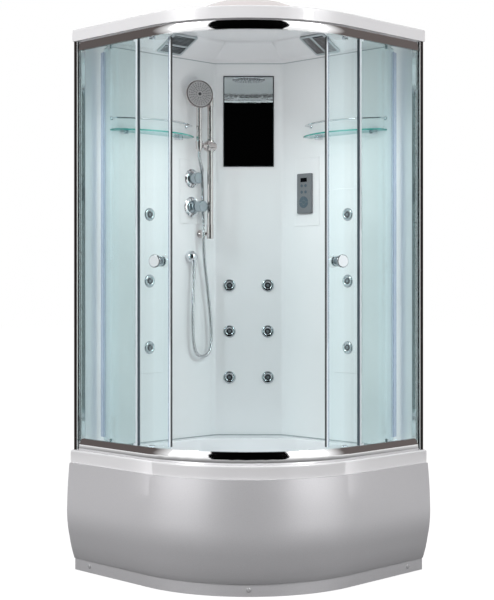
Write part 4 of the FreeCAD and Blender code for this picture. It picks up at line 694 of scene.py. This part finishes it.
# Control panel: a silver grey moulded shell clipped to the right wall, with a dark display window
# and a grey membrane of soft keys stuck in its face.
shell = grainy("silver grey moulded shell", ("#75787B", "#87898C"), 900,
               {"Metallic": 0.5, "Roughness": 0.34})
window = patchy("dark display window", "#0B0D10", 60, (0.15, 0.25), {"Specular IOR Level": 0.0})
keys = grainy("grey membrane keys", ("#44545E", "#53646F"), 500, {"Roughness": 0.5})
panel_thickness = 0.0143
panel = polish("control_panel", shell, window)
for face in panel.data.polygons:
    off = (face.center - right_wall(0, panel_thickness, 0)).dot(Vector((-1, -1, 0)))
    face.material_index = 1 if off > 0 else 0
polish("panel_keys", keys)


# Handset: moulded plastic, plated warm chrome. The lip round its grey spray face is given a dark
# brownish chrome colour, a painted dark reflection. A button and 96 soft rubber nozzles in five
# rings are pressed through the face from behind, and a thin dark rubber ring round each nozzle is
# painted shade of the hole it stands in.
spray_grey = grainy("grey spray face", ("#A3A1A1", "#B1AFAF"), 200,
                    {"Metallic": 0.3, "Roughness": 0.4})
rubber = patchy("dark nozzle rubber", "#2B2C30", 250, (0.25, 0.45), {})
# The lip's dark brownish chrome is a painted reflection of the dark room in front of it.
lip_painted_dark_reflection = patchy("handset lip, painted dark reflection", "#7A7271", spots_per_metre, (0.08, 0.2),
                    {"Metallic": 1.0}, detail=3.0)
head_turn = math.radians(22)
head_lean = math.radians(6)
head_foot = 1.86
lip_facing = 0.6
spray_out = Vector((math.sin(head_turn) * math.cos(head_lean),
                    -math.cos(head_turn) * math.cos(head_lean), math.sin(head_lean)))
# The faces of the lip that look out along the spray take the painted dark reflection.
handset = polish("handset", chromes["warm chrome plate"], lip_painted_dark_reflection)
for face in handset.data.polygons:
    if face.normal.dot(spray_out) > lip_facing and face.center.z > head_foot:
        face.material_index = 1
nozzle_rise = 0.0009
spray_face = polish("handset_face", spray_grey, rubber)
highest = max(face.center.dot(spray_out) for face in spray_face.data.polygons)
for face in spray_face.data.polygons:
    face.material_index = 1 if face.center.dot(spray_out) > highest - nozzle_rise else 0
face_radius = 0.054
face_depth = 0.001
middle_lift = 0.0005
hole_shade_radius = 0.0023
hole_shade_height = 0.0004
hole_shade_sides = 12
nozzle_rings = ((0.3, 12), (0.44, 12), (0.58, 24), (0.72, 24), (0.86, 24))
low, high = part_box("handset_face")
face_middle = (low + high) / 2
face_middle += spray_out * (highest - face_depth - face_middle.dot(spray_out))
face_turn = Vector((0, 0, 1)).rotation_difference(spray_out)
# Thin dark rubber rings laid round the nozzles: painted shade of the holes the nozzles stand in.
bpy.ops.object.select_all(action="DESELECT")
bpy.ops.mesh.primitive_cylinder_add(vertices=hole_shade_sides, radius=hole_shade_radius,
                                    depth=hole_shade_height)
first_hole_shade = bpy.context.object
hole_shade_round = first_hole_shade.modifiers.new("hole shade round", "BEVEL")
hole_shade_round.width = hole_shade_height / 3
bpy.ops.object.modifier_apply(modifier="hole shade round")
first_hole_shade.data.transform(face_turn.to_matrix().to_4x4())
hole_shades = [first_hole_shade]
for share, count in nozzle_rings:
    for index in range(count):
        angle = 2 * math.pi * index / count
        flat = Vector((math.cos(angle), math.sin(angle), 0)) * face_radius * share
        hole_shade = bpy.data.objects.new("nozzle_hole_shade", first_hole_shade.data.copy())
        hole_shade.location = face_middle + face_turn @ flat
        bpy.context.collection.objects.link(hole_shade)
        hole_shades.append(hole_shade)

# The ring of painted hole shade that the others are copied from stays hidden inside the button in
# the middle.
first_hole_shade.location = face_middle + face_turn @ Vector((0, 0, middle_lift))
for hole_shade in hole_shades:
    hole_shade.select_set(True)
bpy.ops.object.join()
bpy.ops.object.transform_apply(location=True, rotation=True, scale=True)
first_hole_shade.name = "nozzle_hole_shades"
first_hole_shade.data.materials.append(rubber)
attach(first_hole_shade, nodes["handset_face"]["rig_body"])


# Body jets: twelve nozzles, six on the column and three on each wall, pushed into their chrome
# rings from behind. Each is a grey plastic tip on a dark rubber body.
nozzle_grey = grainy("grey jet nozzle", ("#7E898E", "#939EA3"), 250,
                     {"Metallic": 0.4, "Roughness": 0.3})
tip_depth = 0.0016
column_half = 0.16


def jet_way(face):
    """The back panel that a jet's face is on: -1 the left wall, 0 the column, 1 the right wall."""
    return 0 if abs(face.center.x) < column_half else -1 if face.center.x < 0 else 1


nozzles = polish("jet_nozzles", rubber, nozzle_grey)
for way in (0, -1, 1):
    out = Vector((-way, -1, 0)).normalized()
    own = [face for face in nozzles.data.polygons if jet_way(face) == way]
    tip = max(face.center.dot(out) for face in own)
    for face in own:
        face.material_index = 1 if face.center.dot(out) > tip - tip_depth else 0


# Ceiling units: a speaker and an extractor, moulded in silver grey plastic and clipped into the
# ceiling. Each has a slatted grille over a dark well, and the extractor's impeller turns behind it.
frame_grey = grainy("silver grey unit frame", ("#B0B7BA", "#C3C9CC"), 300,
                    {"Metallic": 0.4, "Roughness": 0.35})
speaker_mesh = grainy("dark speaker mesh", ("#4A4D4F", "#606365"), 300, {"Roughness": 0.4})
brown_slats = grainy("brown grey slats", ("#6F6460", "#85797A"), 300, {"Roughness": 0.4})
slat_depth = 0.0003
grille_depth = 0.0024
fan_axis = next(joint["axis"] for joint in frame["joints"] if joint["name"] == "fan_spin")
for name, way, slatted in (("speaker_unit", -1, speaker_mesh), ("fan_unit", 1, brown_slats)):
    out = Vector((fan_axis[0] * way, fan_axis[1], fan_axis[2])).normalized()
    unit = polish(name, frame_grey, rubber, slatted)
    front = max(face.center.dot(out) for face in unit.data.polygons)
    for face in unit.data.polygons:
        depth = front - face.center.dot(out)
        if face.normal.dot(out) <= mostly or depth < slat_depth:
            face.material_index = 0
        else:
            face.material_index = 2 if depth < grille_depth else 1
polish("fan_impeller", rubber)


# Roof dome: a milky acrylic sheet, blown into a low dome and glued round its edge over the lamp
# opening in the roof.
milky = grainy("milky dome sheet", ("#C9BEBE", "#D6CCCC"), 8,
               {"Roughness": 0.25, "Coat Weight": 0.4}, detail=3.0)
polish("roof_dome", milky)


# Hidden works: a frame of galvanised steel tubes with threaded feet under the tray, grey plastic
# pipes behind the panels and under the drain, and white nylon rollers that carry the doors.
spangle_size = 0.011
galvanised = new_material("galvanised steel")
place = add(galvanised, "ShaderNodeTexCoord")
spangle = add(galvanised, "ShaderNodeTexVoronoi", {"Scale": 1 / spangle_size},
              {"Vector": (place, "Object")})
tone = add(galvanised, "ShaderNodeValToRGB", {"colours": ("#8B9092", "#B5BABC")},
           {"Fac": (spangle, "Color")})
finish_material(galvanised, add(
    galvanised, "ShaderNodeBsdfPrincipled", {"Metallic": 0.9, "Roughness": 0.42},
    {"Base Color": (tone, "Color")}))
pipe_grey = grainy("grey pipe plastic", ("#7C8083", "#8F9396"), 70, {"Roughness": 0.5}, detail=3.0)
nylon = patchy("white nylon", "#E4E3DD", 400, (0.35, 0.5), {})
for name, finish in (("base_frame", galvanised), ("levelling_feet", galvanised),
                     ("waste_trap", pipe_grey), ("jet_manifolds", pipe_grey)):
    polish(name, finish)
for name in nodes:
    if name.endswith("_roller"):
        polish(name, nylon)
